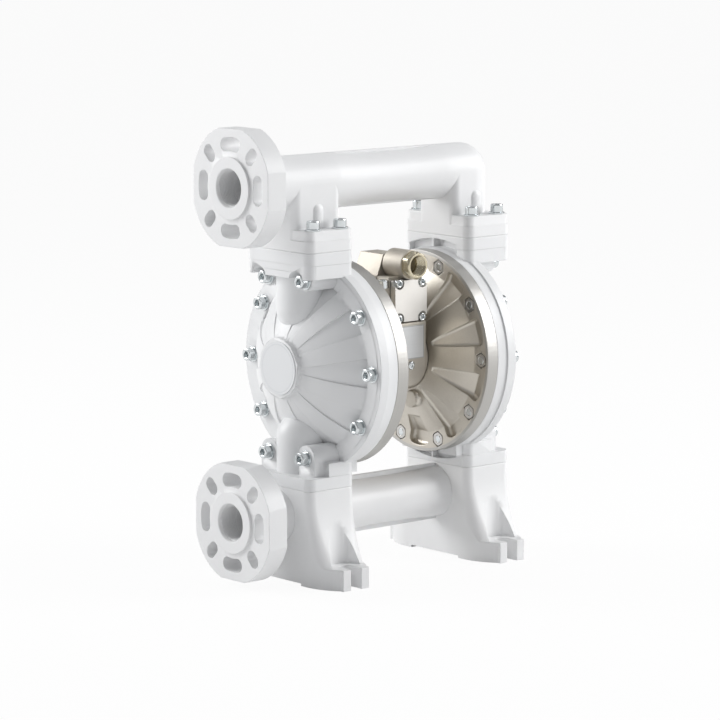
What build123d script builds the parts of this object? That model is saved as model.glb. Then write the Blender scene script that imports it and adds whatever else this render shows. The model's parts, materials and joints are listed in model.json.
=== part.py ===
from build123d import *
import math
import os

# Air operated double diaphragm pump. Millimetres. X runs along the diaphragm rod, the flanged
# ports face -X, the air valve faces -Y, +Z is up. The origin is on the floor, midway between the
# four foot slots. Shapes are drawn about the chamber axis and lifted by axis_height at the end.

# Flanges and chamber rim
flange_radius = 75.0
floor_clearance = 6.5
clamp_plane = 82.7
rim_radius = 128.6
rim_lip_radius = rim_radius + 1.8
rim_lip_start = 98.1
rim_chamfer = 0.5
screw_circle = rim_radius - 13.6
land_plane = 112.0
land_inner = screw_circle - 9.0
land_line = rim_radius - 4.6
line_depth = 0.6
chamber_inner_face = 65.7

# Blocks at the top and bottom of the fluid covers
block_centre = 130.0
block_length = 74.7
block_width = 122.6
block_corner = 12.0
block_height = 32.7
upper_block_bottom = screw_circle - 1.5
lower_block_top = 1.0 - screw_circle
outlet_seam = upper_block_bottom + block_height
inlet_seam = lower_block_top - block_height
seam_chamfer = 0.8
block_line = 15.7

# Port axes and their height over the floor
outlet_axis = outlet_seam + 80.3
inlet_axis = inlet_seam - 36.8
axis_height = floor_clearance + flange_radius - inlet_axis

# Dome of the fluid cover
badge_radius = 33.0
badge_thickness = 1.2
boss_radius = 37.0
boss_plane = 165.4
dome_tip = 160.0
dome_bulge = 5.5
panel_depth = 5.0
dome_wall = 8.0
spoke_count = 10
spoke_half_inner = 8.0
spoke_half_outer = 15.5
neck_radius = 30.0
upper_neck_end = screw_circle - 43.0
lower_neck_end = 27.0 - screw_circle
lower_step_start = 135.8
window_inner = rim_lip_radius + 0.6
window_outer = rim_lip_radius + 10.6
window_half = 45.0
window_shift = 5.0
window_depth = 9.0
window_rib = 3.0

# Diaphragm and its plates
cavity_radius = screw_circle - 17.0
diaphragm_thickness = 4.0
diaphragm_clearance = 0.3
diaphragm_edge = screw_circle - 7.0
edge_clearance = 0.5
roll_height = 7.0
stroke = 12.0
plate_radius = 58.0
inner_plate_thickness = 7.0
outer_plate_thickness = 9.0
outer_hub_radius = 22.0
outer_hub_height = 6.0
rod_radius = 11.0
stud_radius = 8.0
rod_nut_flats = 24.0
rod_nut_height = 8.0
bore_clearance = 0.05

# Air side
hub_radius = 47.0
hub_face = 40.0
gasket_thickness = 1.0
pocket_depth = 7.5
pocket_outer = screw_circle - 11.0
pocket_half_inner = 5.0
pocket_half_outer = 19.0
pocket_corner = 3.0
pocket_floor_round = 4.0
floor_gap = 3.2
cavity_wall = 6.0
bush_radius = 15.0
bush_start = 18.0
bush_end = 34.0
seal_end = 38.0
centre_screw_circle = 33.0
centre_screw_radius = 3.0
centre_screw_head = 5.0
centre_screw_head_height = 4.0
centre_screw_reach = 11.0
centre_screw_key = 4.0
centre_screw_key_depth = 2.0
pilot_radius = 4.0
pilot_height = 26.0
pilot_shift = 4.0
pilot_clearance = 0.3
tie_boss_radius = 11.0
tie_boss_y = -14.0
tie_boss_height = -58.0
tie_boss_face = 38.0

# Centre body and valve block
riser_half_thick = 22.0
riser_top = 131.0
riser_half_top = 14.0
column_half = 27.0
column_front = -57.5
column_back = -24.0
column_top = 105.0
column_bottom_centre = -6.0
column_edge = 3.0
column_gap = 0.5
barrel_radius = 18.3
barrel_height = 120.0
barrel_front = -59.0
hub_back = 52.0
back_pad_half = 24.0
plate_recess = -48.5
plate_recess_bottom = 48.0
plate_centre = 75.5
plate_half = 26.0
plate_half_height = 26.0
plate_thickness = 9.0
plate_lip = 4.0
plate_screw_x = 19.0
plate_screw_z = 22.2
plate_screw_radius = 3.0
plate_screw_head = 5.0
plate_screw_head_height = 6.0
plate_screw_length = 37.0
plate_screw_key = 5.0
plate_screw_key_depth = 3.5
plate_notch = 7.5
sleeve_radius = 9.0
sleeve_bore = 5.5
sleeve_half = 22.0
sleeve_y = -36.5
sleeve_groove = 5.0
sleeve_groove_depth = 2.0
sleeve_groove_step = 12.0
spool_land = 6.0
spool_travel = 4.0
spool_end_gap = 3.0
spool_waist = 3.5
cap_thickness = 4.0
label_low = 2.0
label_high = 43.5
label_half = 21.5
label_thickness = 0.6
inlet_flats = 32.0
inlet_mouth = -71.6
inlet_neck = 14.0
inlet_thread = 12.06
inlet_thread_length = 16.0
inlet_crown = 1.5
inlet_neck_length = 13.0
inlet_bore = 9.06
silencer_radius = 20.0
silencer_start = 60.0
silencer_end = 112.0
silencer_height = 62.0
silencer_neck = 11.0
block_screw_head_height = 3.0
block_screw_length = 9.0
block_screw_key_depth = 1.5
shoulder_screw_x = -34.0
shoulder_screw_y = -44.0
shoulder_screw_radius = 4.0
shoulder_screw_length = 15.0
shoulder_screw_head = 6.5
shoulder_screw_head_height = 11.0
shoulder_screw_key = 6.0
shoulder_screw_key_depth = 5.0
shoulder_lug_half = 7.0
shoulder_lug_bottom = 64.0
shoulder_seat = 92.0

# Ball valves
ball_radius = 20.0
ball_lift = 8.0
cage_radius = 24.5
guide_clearance = 0.4
guide_width = 5.0
stop_radius = 12.0
stop_height = 7.0
lift_clearance = 0.3
port_radius = 20.0
seat_radius = 27.0
seat_thickness = 8.0
seat_bore = 14.5
seat_cone = 3.5
seat_ring_wire = 1.5
ball_seat_gap = 0.02

# Manifolds and flanges
slab_thickness = 14.3
ear_thickness = 12.3
ear_inset = 1.2
tube_radius = 34.5
waist_radius = 30.8
inlet_tube_radius = 33.0
inlet_waist_radius = 30.0
tube_bore = 21.0
fin_thickness = 4.0
leg_half = 34.5
ridge_radius = 10.5
ridge_reach = 38.0
ridge_top = outlet_seam + 48.8
leg_corner = 10.5
flange_face = -239.0
raised_face = -242.0
flange_back = -211.0
flange_flat = 71.5
flange_corner = 12.0
raised_radius = 38.0
port_thread = 22.42
port_thread_length = 26.0
port_chamfer = 2.0
slot_width = 17.0
curved_slot_radius = 53.0
curved_slot_length = 37.0
radial_slot_inner = 44.5
radial_slot_outer = 68.0
bolt_x = 21.3
bolt_y = 50.0

# Feet
foot_half = 105.6
tongue_half = 20.5
tongue_root = 5.0
tongue_thickness = 26.0
tongue_top = tongue_thickness - axis_height
flare_start = inlet_seam - 18.3
flare_sag = 4.0
flare_waist = block_width / 2 + 10.0
flare_waist_corner = 16.0
flare_foot = 88.0
flare_corner = 22.0
arch_radius = 22.0
arch_y = 88.0
foot_slot_width = 17.0
foot_slot_end = 86.0
relief_half = 45.0
relief_depth = 3.0
counterbore_radius = 9.0
inlet_bolt_seat = inlet_seam - 29.3

# M10 fasteners
screw_radius = 5.0
head_radius = 8.0
head_height = 10.0
washer_radius = 10.3
washer_thickness = 2.0
hole_clearance = 0.5
thread_clearance = 0.05
nut_flats = 16.0
nut_height = 8.0
nut_gap = 1.0
socket_key = 8.0
socket_depth = 5.5
tall_seat = block_centre + block_length / 2 - 16.55
tall_boss_upper = 12.0
tall_boss_lower = 16.0
head_access = 14.0
bolt_reach = 24.0
inlet_bolt_reach = 12.0


def rod_x(radius, start, end, y=0.0, z=0.0):
    """Round bar along X."""
    return Pos((start + end) / 2, y, z) * Cylinder(radius, abs(end - start), rotation=(0, 90, 0))


def rod_y(radius, start, end, x=0.0, z=0.0):
    """Round bar along Y."""
    return Pos(x, (start + end) / 2, z) * Cylinder(radius, abs(end - start), rotation=(90, 0, 0))


def rod_z(radius, start, end, x=0.0, y=0.0):
    """Round bar along Z."""
    return Pos(x, y, (start + end) / 2) * Cylinder(radius, abs(end - start))


def block(x, y, z):
    """Box from three (low, high) pairs."""
    size = [high - low for low, high in (x, y, z)]
    centre = [(high + low) / 2 for low, high in (x, y, z)]
    return Pos(*centre) * Box(*size)


def turned_x(outline):
    """Solid of revolution about X; the outline is drawn as (x, radius)."""
    return revolve(make_face(Plane.XZ * outline), Axis.X)


def turned_z(outline, x=0.0):
    """Solid of revolution about a vertical axis; the outline is drawn as (radius, z)."""
    return Pos(x, 0, 0) * revolve(make_face(Plane.XZ * outline), Axis.Z)


def hexagon(flats, start, direction, length):
    """Hexagonal bar from a point along a direction."""
    sketch = Plane(origin=start, z_dir=direction) * RegularPolygon(flats / math.sqrt(3), 6)
    return extrude(sketch, length)


def other_side(shape):
    """The left-hand copy of a right-hand shape."""
    return mirror(shape, about=Plane.YZ)


def bulged(start, end, bulge):
    """Arc between two outline points that stands out from the chord by bulge."""
    (x0, y0), (x1, y1) = start, end
    length = math.hypot(x1 - x0, y1 - y0)
    middle_x = (x0 + x1) / 2 - bulge * (y0 - y1) / length
    middle_y = (y0 + y1) / 2 - bulge * (x1 - x0) / length
    return ThreePointArc(start, (middle_x, middle_y), end)


def screw_places():
    """(y, z, is_tall) of the cover screws; those beside the blocks are tall."""
    places = []
    for index in range(spoke_count):
        angle = 2 * math.pi * index / spoke_count
        y = screw_circle * math.cos(angle)
        z = screw_circle * math.sin(angle)
        places.append((y, z, abs(y) < block_width / 2))
    return places


def block_outline(height, inset=0.0):
    """Rounded outline shared by the cover blocks and the manifolds, on the right-hand side."""
    sketch = RectangleRounded(block_length - 2 * inset, block_width - 2 * inset, block_corner - inset)
    return Pos(block_centre, 0, height) * sketch


def bolt_places():
    """Centres (x, y) of the four bolts of a right-hand block."""
    return [(block_centre + dx, dy) for dx in (-bolt_x, bolt_x) for dy in (-bolt_y, bolt_y)]


# Fluid cover

def dome_body(outer_drop):
    """Solid dome; its surface lies outer_drop below the land at the land's inner edge."""
    foot = (land_plane - outer_drop, land_inner)
    tip = (dome_tip, boss_radius)
    outline = Line((clamp_plane, 0), (dome_tip, 0))
    outline += Line((dome_tip, 0), tip)
    outline += bulged(tip, foot, dome_bulge)
    outline += Line(foot, (clamp_plane, land_inner))
    outline += Line((clamp_plane, land_inner), (clamp_plane, 0))
    return turned_x(outline)


def spokes():
    """Ten raised wedges from the tip to the screws."""
    wedge = Polyline(
        (boss_radius - 2, -spoke_half_inner),
        (land_inner + 1, -spoke_half_outer),
        (land_inner + 1, spoke_half_outer),
        (boss_radius - 2, spoke_half_inner),
        close=True,
    )
    pattern = Sketch() + PolarLocations(0, spoke_count) * make_face(wedge)
    prism = extrude(Plane(origin=(clamp_plane, 0, 0), z_dir=(1, 0, 0)) * pattern, dome_tip)
    return dome_body(0.0) & prism


def cover_rim():
    """Flange ring with the lip, the land for the screws and a fine step round it."""
    outline = Polyline(
        (clamp_plane, 0),
        (clamp_plane, rim_radius - rim_chamfer),
        (clamp_plane + rim_chamfer, rim_radius),
        (rim_lip_start, rim_radius),
        (rim_lip_start, rim_lip_radius),
        (land_plane - line_depth, rim_lip_radius),
        (land_plane - line_depth, land_line),
        (land_plane, land_line),
        (land_plane, land_inner),
        (land_plane - panel_depth, land_inner - 1),
        (land_plane - panel_depth, 0),
        close=True,
    )
    return turned_x(outline)


def neck(end, seam):
    """Vertical neck between a block and the dome, with a round end."""
    return rod_z(neck_radius, end, seam, block_centre) + Pos(block_centre, 0, end) * Sphere(neck_radius)


def passage(end, seam):
    """Way out of the chamber into a neck and along it."""
    way = rod_z(port_radius, end, seam, block_centre) + Pos(block_centre, 0, end) * Sphere(port_radius)
    return way + rod_x(port_radius, land_plane - panel_depth - dome_wall, block_centre, 0, end)


def cover_block(seam, inner_end):
    """Block of a fluid cover: chamfered at the seam, with a fine step where the head of it begins."""
    height = min(seam, inner_end)
    line = seam - math.copysign(block_line, seam)
    head = extrude(block_outline(min(seam, line)), block_line)
    head = chamfer(head.faces().sort_by(Axis.Z)[-1 if seam > 0 else 0].edges(), seam_chamfer)
    return head + extrude(block_outline(height, line_depth), abs(seam - inner_end))


def chamber_cavity():
    """Pumping chamber inside the cover."""
    mouth = clamp_plane
    corner = land_plane - panel_depth - dome_wall
    tip = (dome_tip - dome_wall, boss_radius - dome_wall)
    foot = (corner, cavity_radius - dome_wall / 2)
    outline = Polyline((mouth, 0), (mouth, cavity_radius), (corner - dome_wall, cavity_radius), foot)
    outline += bulged(foot, tip, -dome_bulge)
    outline += Polyline(tip, (dome_tip - dome_wall, 0), (mouth, 0))
    return turned_x(outline)


def edge_recess(side):
    """Seat for the diaphragm's edge; side is +1 in the cover and -1 in the air chamber."""
    depth = diaphragm_thickness / 2 + diaphragm_clearance
    return rod_x(diaphragm_edge + edge_clearance, clamp_plane, clamp_plane + side * depth)


def windows(sign):
    """Arched recess with a thin rib, on the inner side of a block."""
    inner_side = block_centre - block_length / 2
    height = (0, sign * 2 * window_outer)
    ring = rod_x(window_outer, inner_side, inner_side + window_depth)
    ring -= rod_x(window_inner, inner_side, inner_side + window_depth)
    span = block(
        (inner_side, inner_side + window_depth),
        (window_shift - window_half, window_shift + window_half),
        (min(height), max(height)),
    )
    rib = block(
        (inner_side, inner_side + window_depth),
        (window_shift - window_rib / 2, window_shift + window_rib / 2),
        (min(height), max(height)),
    )
    return (ring & span) - rib


def ball_cage(seam, x=0.0):
    """Cavity round a ball above a seam, less the guide ribs and the stop above the ball."""
    rest = ball_rest(seam)
    stop = rest + ball_radius + ball_lift + lift_clearance
    top = stop + stop_height
    cavity = rod_z(cage_radius, seam, top, x)
    width = (-guide_width / 2, guide_width / 2)
    for angle in (45, 135, 225, 315):
        guide = block((ball_radius + guide_clearance, cage_radius + 1), width, (seam, top))
        rib = guide + block((stop_radius, cage_radius + 1), width, (stop, top))
        cavity -= Pos(x, 0, 0) * Rot(0, 0, angle) * rib
    return cavity


def ball_rest(seam):
    """Height of a ball's centre on its seat; the seat's top lies in the seam."""
    return seam - seat_cone - seat_bore + ball_radius * math.sqrt(2) + ball_seat_gap


def make_fluid_cover():
    """Right-hand fluid cover."""
    cover = dome_body(panel_depth) + spokes() + cover_rim()
    cover += rod_x(boss_radius, dome_tip - 1, boss_plane)
    cover += neck(upper_neck_end, outlet_seam)
    cover += neck(lower_neck_end, inlet_seam)
    cover += cover_block(outlet_seam, upper_block_bottom)
    step = inlet_seam + block_line
    cover += cover_block(inlet_seam, lower_block_top) - block(
        (lower_step_start, block_centre + block_length),
        (-block_width, block_width),
        (step, lower_block_top + 1),
    )
    for y, z, tall in screw_places():
        if tall and z < 0:
            cover += rod_x(tall_boss_lower, clamp_plane, tall_seat, y, z)
            cover += block((clamp_plane, tall_seat), (y - tall_boss_lower, y + tall_boss_lower), (step, z))
        elif tall:
            cover += rod_x(tall_boss_upper, clamp_plane, tall_seat, y, z)
        if tall:
            cover -= rod_x(head_access, tall_seat, block_centre + block_length, y, z)
        cover -= rod_x(screw_radius + hole_clearance, clamp_plane, tall_seat, y, z)
    cover -= chamber_cavity()
    cover -= edge_recess(1)
    cover -= windows(1) + windows(-1)
    cover -= passage(upper_neck_end, outlet_seam)
    cover -= rod_z(seat_radius + bore_clearance, outlet_seam - seat_thickness, outlet_seam, block_centre)
    cover -= passage(lower_neck_end, lower_cage_top())
    cover -= ball_cage(inlet_seam, block_centre)
    for x, y in bolt_places():
        cover -= rod_z(screw_radius + thread_clearance, outlet_seam - bolt_reach - 2, outlet_seam, x, y)
        cover -= rod_z(screw_radius + thread_clearance, inlet_seam, inlet_seam + inlet_bolt_reach + 2, x, y)
    return cover


def lower_cage_top():
    """Top of the inlet ball's cage."""
    return ball_rest(inlet_seam) + ball_radius + ball_lift + lift_clearance + stop_height - 0.01


def make_badge():
    """Plain round badge on the right-hand dome."""
    return rod_x(badge_radius, boss_plane, boss_plane + badge_thickness)


# Air chamber

def spoke_plane(radius):
    """X of the flat spokes of the air chamber at a radius."""
    slope = (chamber_inner_face - hub_face) / (pocket_outer - hub_radius)
    return hub_face + (radius - hub_radius) * slope


def make_air_chamber():
    """Right-hand air chamber: dished wall with ten flat spokes and rounded pockets between them."""
    chamber = turned_x(Polyline(
        (clamp_plane, 0),
        (clamp_plane, rim_radius - rim_chamfer),
        (clamp_plane - rim_chamfer, rim_radius),
        (chamber_inner_face, rim_radius),
        (chamber_inner_face, pocket_outer),
        (hub_face, hub_radius),
        (hub_face, 0),
        close=True,
    ))
    for pocket in chamber_pockets():
        chamber -= pocket
    chamber += rod_x(tie_boss_radius, tie_boss_face, spoke_plane(pocket_outer), tie_boss_y, tie_boss_height)
    chamber -= air_cavity()
    chamber -= edge_recess(-1)
    nut_pocket = nut_flats + 2 * nut_gap
    for y, z, tall in screw_places():
        chamber -= rod_x(screw_radius + hole_clearance, chamber_inner_face, clamp_plane, y, z)
        chamber -= hexagon(nut_pocket, (chamber_inner_face, y, z), (1, 0, 0), nut_height)
    chamber -= rod_x(rod_radius + 1, hub_face, clamp_plane)
    chamber -= rod_x(pilot_radius + bore_clearance, hub_face, clamp_plane, 0, pilot_height)
    floor = cavity_floor()
    for y, z in centre_screw_places():
        chamber -= rod_x(centre_screw_radius + thread_clearance, hub_face, floor, y, z)
        chamber -= rod_x(centre_screw_head + hole_clearance, floor - centre_screw_head_height, floor, y, z)
    return chamber


def cavity_floor():
    """Bottom of the air side, just clear of the inner plate at the end of its stroke."""
    return inner_plate_face() - stroke - floor_gap


def air_cavity():
    """Air side of the diaphragm."""
    wall = pocket_depth + cavity_wall
    outline = Polyline(
        (clamp_plane, 0),
        (clamp_plane, cavity_radius),
        (spoke_plane(cavity_radius) + wall, cavity_radius),
        (spoke_plane(plate_radius + 8) + wall, plate_radius + 8),
        (cavity_floor(), plate_radius + 4),
        (cavity_floor(), 0),
        close=True,
    )
    return turned_x(outline)


def chamber_pockets():
    """Pockets between the spokes, deeper towards the rim."""
    outline = make_face(Polyline(
        (hub_radius + 3, -pocket_half_inner),
        (pocket_outer - 2, -pocket_half_outer),
        (pocket_outer + 1.5, 0),
        (pocket_outer - 2, pocket_half_outer),
        (hub_radius + 3, pocket_half_inner),
        close=True,
    ))
    outline = fillet(outline.vertices(), pocket_corner)
    prism = extrude(Plane(origin=(hub_face - 5, 0, 0), z_dir=(1, 0, 0)) * outline, clamp_plane - hub_face)
    bottom = spoke_plane(pocket_outer - 6) + pocket_depth
    floor = turned_x(Polyline(
        (hub_face - 10, hub_radius),
        (spoke_plane(hub_radius + 2) + 0.5, hub_radius + 2),
        (bottom, pocket_outer - 6),
        (bottom, pocket_outer + 5),
        (hub_face - 10, pocket_outer + 5),
        close=True,
    ))
    pocket = prism & floor
    lower_edges = [edge for edge in pocket.edges() if edge.center().X > hub_face]
    rounded = [edge for edge in lower_edges if abs(edge.tangent_at(0).X) < 0.99]
    pocket = fillet(rounded, pocket_floor_round)
    half_step = 180 / spoke_count
    return [Rot(half_step + 2 * half_step * index, 0, 0) * pocket for index in range(spoke_count)]


def centre_screw_places():
    """(y, z) of the four screws that hold an air chamber to the centre body."""
    angles = [math.radians(angle) for angle in (30, 150, 210, 330)]
    return [(centre_screw_circle * math.cos(a), centre_screw_circle * math.sin(a)) for a in angles]


def make_chamber_screws():
    """Eight screws from the chambers into the centre body."""
    screws = []
    seat = cavity_floor() - centre_screw_head_height
    for y, z in centre_screw_places():
        screw = rod_x(centre_screw_radius, hub_face - centre_screw_reach, seat, y, z)
        top = seat + centre_screw_head_height
        screw += rod_x(centre_screw_head, seat, top, y, z)
        key_start = (top - centre_screw_key_depth, y, z)
        screw -= hexagon(centre_screw_key, key_start, (1, 0, 0), centre_screw_key_depth)
        screws += [screw, other_side(screw)]
    return screws


# Moving assembly on the rod

def make_rod():
    """Rod with a thinner threaded end on each side."""
    shoulder = inner_plate_face()
    end = outer_plate_face() + outer_hub_height + rod_nut_height + 2
    return rod_x(rod_radius, -shoulder, shoulder) + rod_x(stud_radius, -end, end)


def inner_plate_face():
    """Air-side face of the inner plate at mid stroke."""
    return clamp_plane - diaphragm_thickness / 2 - inner_plate_thickness


def outer_plate_face():
    """Fluid-side face of the outer plate's disc at mid stroke."""
    return clamp_plane + diaphragm_thickness / 2 + outer_plate_thickness


def make_inner_plate():
    """Disc behind the diaphragm."""
    edge = 3.0
    start = inner_plate_face()
    end = clamp_plane - diaphragm_thickness / 2
    plate = turned_x(Polyline(
        (start, stud_radius + bore_clearance),
        (start, plate_radius - edge),
        (start + edge, plate_radius),
        (end, plate_radius),
        (end, stud_radius + bore_clearance),
        close=True,
    ))
    return plate


def make_outer_plate():
    """Rounded disc in front of the diaphragm, with a raised hub for the nut."""
    start = clamp_plane + diaphragm_thickness / 2
    face = outer_plate_face()
    rim = (start + 3, plate_radius)
    hub = (face, outer_hub_radius + 8)
    outline = Polyline((start, stud_radius + bore_clearance), (start, plate_radius), rim)
    outline += bulged(rim, hub, -2.0)
    outline += Polyline(
        hub,
        (face + outer_hub_height, outer_hub_radius),
        (face + outer_hub_height, stud_radius + bore_clearance),
        (start, stud_radius + bore_clearance),
    )
    return turned_x(outline)


def make_rod_nut():
    """Hexagon nut on the rod's end."""
    seat = outer_plate_face() + outer_hub_height
    nut = hexagon(rod_nut_flats, (seat, 0, 0), (1, 0, 0), rod_nut_height)
    return nut - rod_x(stud_radius + bore_clearance, seat, seat + rod_nut_height)


def make_diaphragm():
    """Flat centre and clamped edge with one rolling fold between them."""
    half = diaphragm_thickness / 2
    low = clamp_plane - half
    high = clamp_plane + half
    fold_in = plate_radius + 5
    fold_out = cavity_radius - 4
    middle = (fold_in + fold_out) / 2
    bore = stud_radius + bore_clearance
    outline = Polyline((low, fold_in), (low, bore), (high, bore), (high, fold_in))
    outline += ThreePointArc((high, fold_in), (high + roll_height, middle), (high, fold_out))
    outline += Polyline((high, fold_out), (high, diaphragm_edge), (low, diaphragm_edge), (low, fold_out))
    outline += ThreePointArc((low, fold_out), (low + roll_height, middle), (low, fold_in))
    return turned_x(outline)


# Centre body

def make_centre_body():
    """Hub between the air chambers, with the riser behind the valve block and a pad for the silencer."""
    half = hub_face - gasket_thickness
    body = rod_x(hub_radius - 1, -half, half)
    riser = make_face(Plane.XZ * Polyline(
        (-half, 20), (-half, hub_radius + 20), (-riser_half_top, riser_top), (riser_half_top, riser_top),
        (half, hub_radius + 20), (half, 20), close=True,
    ))
    body += extrude(riser, riser_half_thick, both=True)
    body += block((-column_half, column_half), (column_back, 0), (column_bottom_centre, column_top))
    body += rod_y(column_half, column_back, 0, 0, column_bottom_centre)
    body += block((-back_pad_half, back_pad_half), (0, hub_back), (0, silencer_height + back_pad_half))
    pocket = column_sketch(column_bottom_centre, column_top, column_gap)
    body -= Pos(0, column_back, 0) * extrude(pocket, hub_radius)
    body -= rod_x(rod_radius + 1, -half, half)
    for side in (-1, 1):
        body -= rod_x(bush_radius + bore_clearance, side * bush_start, side * half)
        for y, z in centre_screw_places():
            depth = side * (hub_face - centre_screw_reach - 1)
            body -= rod_x(centre_screw_radius + thread_clearance, depth, side * half, y, z)
    body -= rod_x(pilot_radius + bore_clearance, -half, half, 0, pilot_height)
    body -= rod_y(silencer_neck + bore_clearance, hub_back - 15, hub_back, 0, silencer_height)
    for x, z in plate_screw_places():
        body -= rod_y(plate_screw_radius + thread_clearance, column_back, column_back + 16, x, z)
    return body


def plate_screw_places():
    """(x, z) of the four screws of the valve cover plate."""
    heights = (plate_centre - plate_screw_z, plate_centre + plate_screw_z)
    return [(x, z) for x in (-plate_screw_x, plate_screw_x) for z in heights]


def column_sketch(bottom, top, margin=0.0):
    """Front view of the valve block: straight sides and a half-round foot."""
    half = column_half + margin
    sketch = Pos(0, (bottom + top) / 2) * Rectangle(2 * half, top - bottom)
    return Plane.XZ * (sketch + Pos(0, bottom) * Circle(half))


def make_valve_block():
    """Front casting: column, set back behind the cover plate, screw lug and air inlet barrel."""
    front = column_front
    rear = column_back - gasket_thickness
    outline = column_sketch(column_bottom_centre, plate_recess_bottom)
    lower = Pos(0, rear, 0) * extrude(outline, rear - front)
    upper = block((-column_half, column_half), (plate_recess, rear), (column_bottom_centre, column_top))
    lug = block(
        (shoulder_screw_x - shoulder_lug_half, -plate_screw_x),
        (plate_recess, shoulder_screw_y + shoulder_lug_half),
        (shoulder_lug_bottom, shoulder_seat),
    )
    lug = fillet(lug.edges().filter_by(Axis.Z), column_edge)
    body = rod_y(barrel_radius, barrel_front, rear, 0, barrel_height) + lug
    for casting in (lower, upper):
        body += fillet(casting.faces().sort_by(Axis.Y)[0].edges(), column_edge)
    body -= rod_x(sleeve_radius + bore_clearance, -column_half, column_half + 1, sleeve_y, plate_centre)
    hole = shoulder_screw_radius + thread_clearance
    low = shoulder_seat - shoulder_screw_length - 1
    body -= rod_z(hole, low, shoulder_seat, shoulder_screw_x, shoulder_screw_y)
    body -= rod_y(inlet_neck + bore_clearance, barrel_front, barrel_front + 14, 0, barrel_height)
    for x, z in plate_screw_places():
        body -= rod_y(plate_screw_radius + hole_clearance, front, rear, x, z)
    body -= rod_y(plate_screw_radius, front, front + 10, 0, column_bottom_centre)
    return body


def make_block_gasket():
    """Sheet between valve block and centre body."""
    sheet = column_sketch(column_bottom_centre, column_top)
    for x, z in plate_screw_places():
        sheet -= Plane.XZ * (Pos(x, z) * Circle(plate_screw_radius + hole_clearance))
    return Pos(0, column_back, 0) * extrude(sheet, gasket_thickness)


def cover_plate_sketch(inset):
    """Outline of the valve cover plate; inset deepens the corner notches round the screws."""
    sketch = RectangleRounded(2 * plate_half, 2 * plate_half_height, 2.0)
    if inset:
        for x, z in plate_screw_places():
            sketch -= Pos(x, z - plate_centre) * Circle(plate_notch)
            corner_x = math.copysign(plate_half, x)
            corner_z = math.copysign(plate_half_height, z - plate_centre)
            corner = Rectangle(2 * (plate_half - plate_screw_x), 2 * (plate_half_height - plate_screw_z))
            sketch -= Pos(corner_x, corner_z) * corner
    return Pos(0, 0, plate_centre) * (Plane.XZ * sketch)


def make_cover_plate():
    """Plain plate over the spool, stepped at its corners for the screw heads."""
    seat = plate_recess - gasket_thickness
    plate = Pos(0, seat, 0) * extrude(cover_plate_sketch(False), plate_lip)
    plate += Pos(0, seat, 0) * extrude(cover_plate_sketch(True), plate_thickness)
    for x, z in plate_screw_places():
        plate -= rod_y(plate_screw_radius + hole_clearance, seat - plate_thickness, seat, x, z)
    return plate


def make_plate_gasket():
    """Sheet under the valve cover plate."""
    sheet = cover_plate_sketch(False)
    for x, z in plate_screw_places():
        sheet -= Plane.XZ * (Pos(x, z) * Circle(plate_screw_radius + hole_clearance))
    return Pos(0, plate_recess, 0) * extrude(sheet, gasket_thickness)


def make_plate_screws():
    """Four socket screws through the plate and the valve block into the centre body."""
    seat = plate_recess - gasket_thickness - plate_lip
    top = seat - plate_screw_head_height
    screws = []
    for x, z in plate_screw_places():
        screw = rod_y(plate_screw_radius, seat, seat + plate_screw_length, x, z)
        screw += rod_y(plate_screw_head, top, seat, x, z)
        screws.append(screw - hexagon(plate_screw_key, (x, top, z), (0, 1, 0), plate_screw_key_depth))
    return screws


def make_rating_plate():
    """Blank sheet on the valve block."""
    face = column_front - label_thickness
    return block((-label_half, label_half), (face, column_front), (label_low, label_high))


def make_block_screw():
    """Small socket screw under the rating plate."""
    top = column_front - block_screw_head_height
    end = column_front + block_screw_length
    screw = rod_y(plate_screw_head, top, column_front, 0, column_bottom_centre)
    screw += rod_y(plate_screw_radius - thread_clearance, column_front, end, 0, column_bottom_centre)
    key_start = (0, top, column_bottom_centre)
    return screw - hexagon(plate_screw_key, key_start, (0, 1, 0), block_screw_key_depth)


def make_shoulder_screw():
    """Upright socket screw on the lug of the valve block."""
    place = (shoulder_screw_x, shoulder_screw_y)
    top = shoulder_seat + shoulder_screw_head_height
    screw = rod_z(shoulder_screw_head, shoulder_seat, top, *place)
    screw += rod_z(shoulder_screw_radius, shoulder_seat - shoulder_screw_length, shoulder_seat, *place)
    key_start = (*place, top - shoulder_screw_key_depth)
    return screw - hexagon(shoulder_screw_key, key_start, (0, 0, 1), shoulder_screw_key_depth)


def make_sleeve():
    """Spool sleeve with three ring grooves."""
    sleeve = rod_x(sleeve_radius, -sleeve_half, sleeve_half, sleeve_y, plate_centre)
    for x in (-sleeve_groove_step, 0, sleeve_groove_step):
        span = (x - sleeve_groove / 2, x + sleeve_groove / 2)
        core = rod_x(sleeve_radius - sleeve_groove_depth, *span, sleeve_y, plate_centre)
        sleeve -= rod_x(sleeve_radius, *span, sleeve_y, plate_centre) - core
    return sleeve - rod_x(sleeve_bore, -sleeve_half, sleeve_half, sleeve_y, plate_centre)


def make_main_spool():
    """Spool with three lands."""
    radius = sleeve_bore - bore_clearance
    spool_half = sleeve_half - spool_travel - spool_end_gap
    spool = rod_x(spool_waist, -spool_half, spool_half, sleeve_y, plate_centre)
    last = spool_half - spool_land / 2
    for x in (-last, 0, last):
        spool += rod_x(radius, x - spool_land / 2, x + spool_land / 2, sleeve_y, plate_centre)
    return spool


def make_spool_caps():
    """Plugs at the two ends of the spool sleeve."""
    cap = rod_x(sleeve_radius, sleeve_half, sleeve_half + cap_thickness, sleeve_y, plate_centre)
    return [cap, other_side(cap)]


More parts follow.
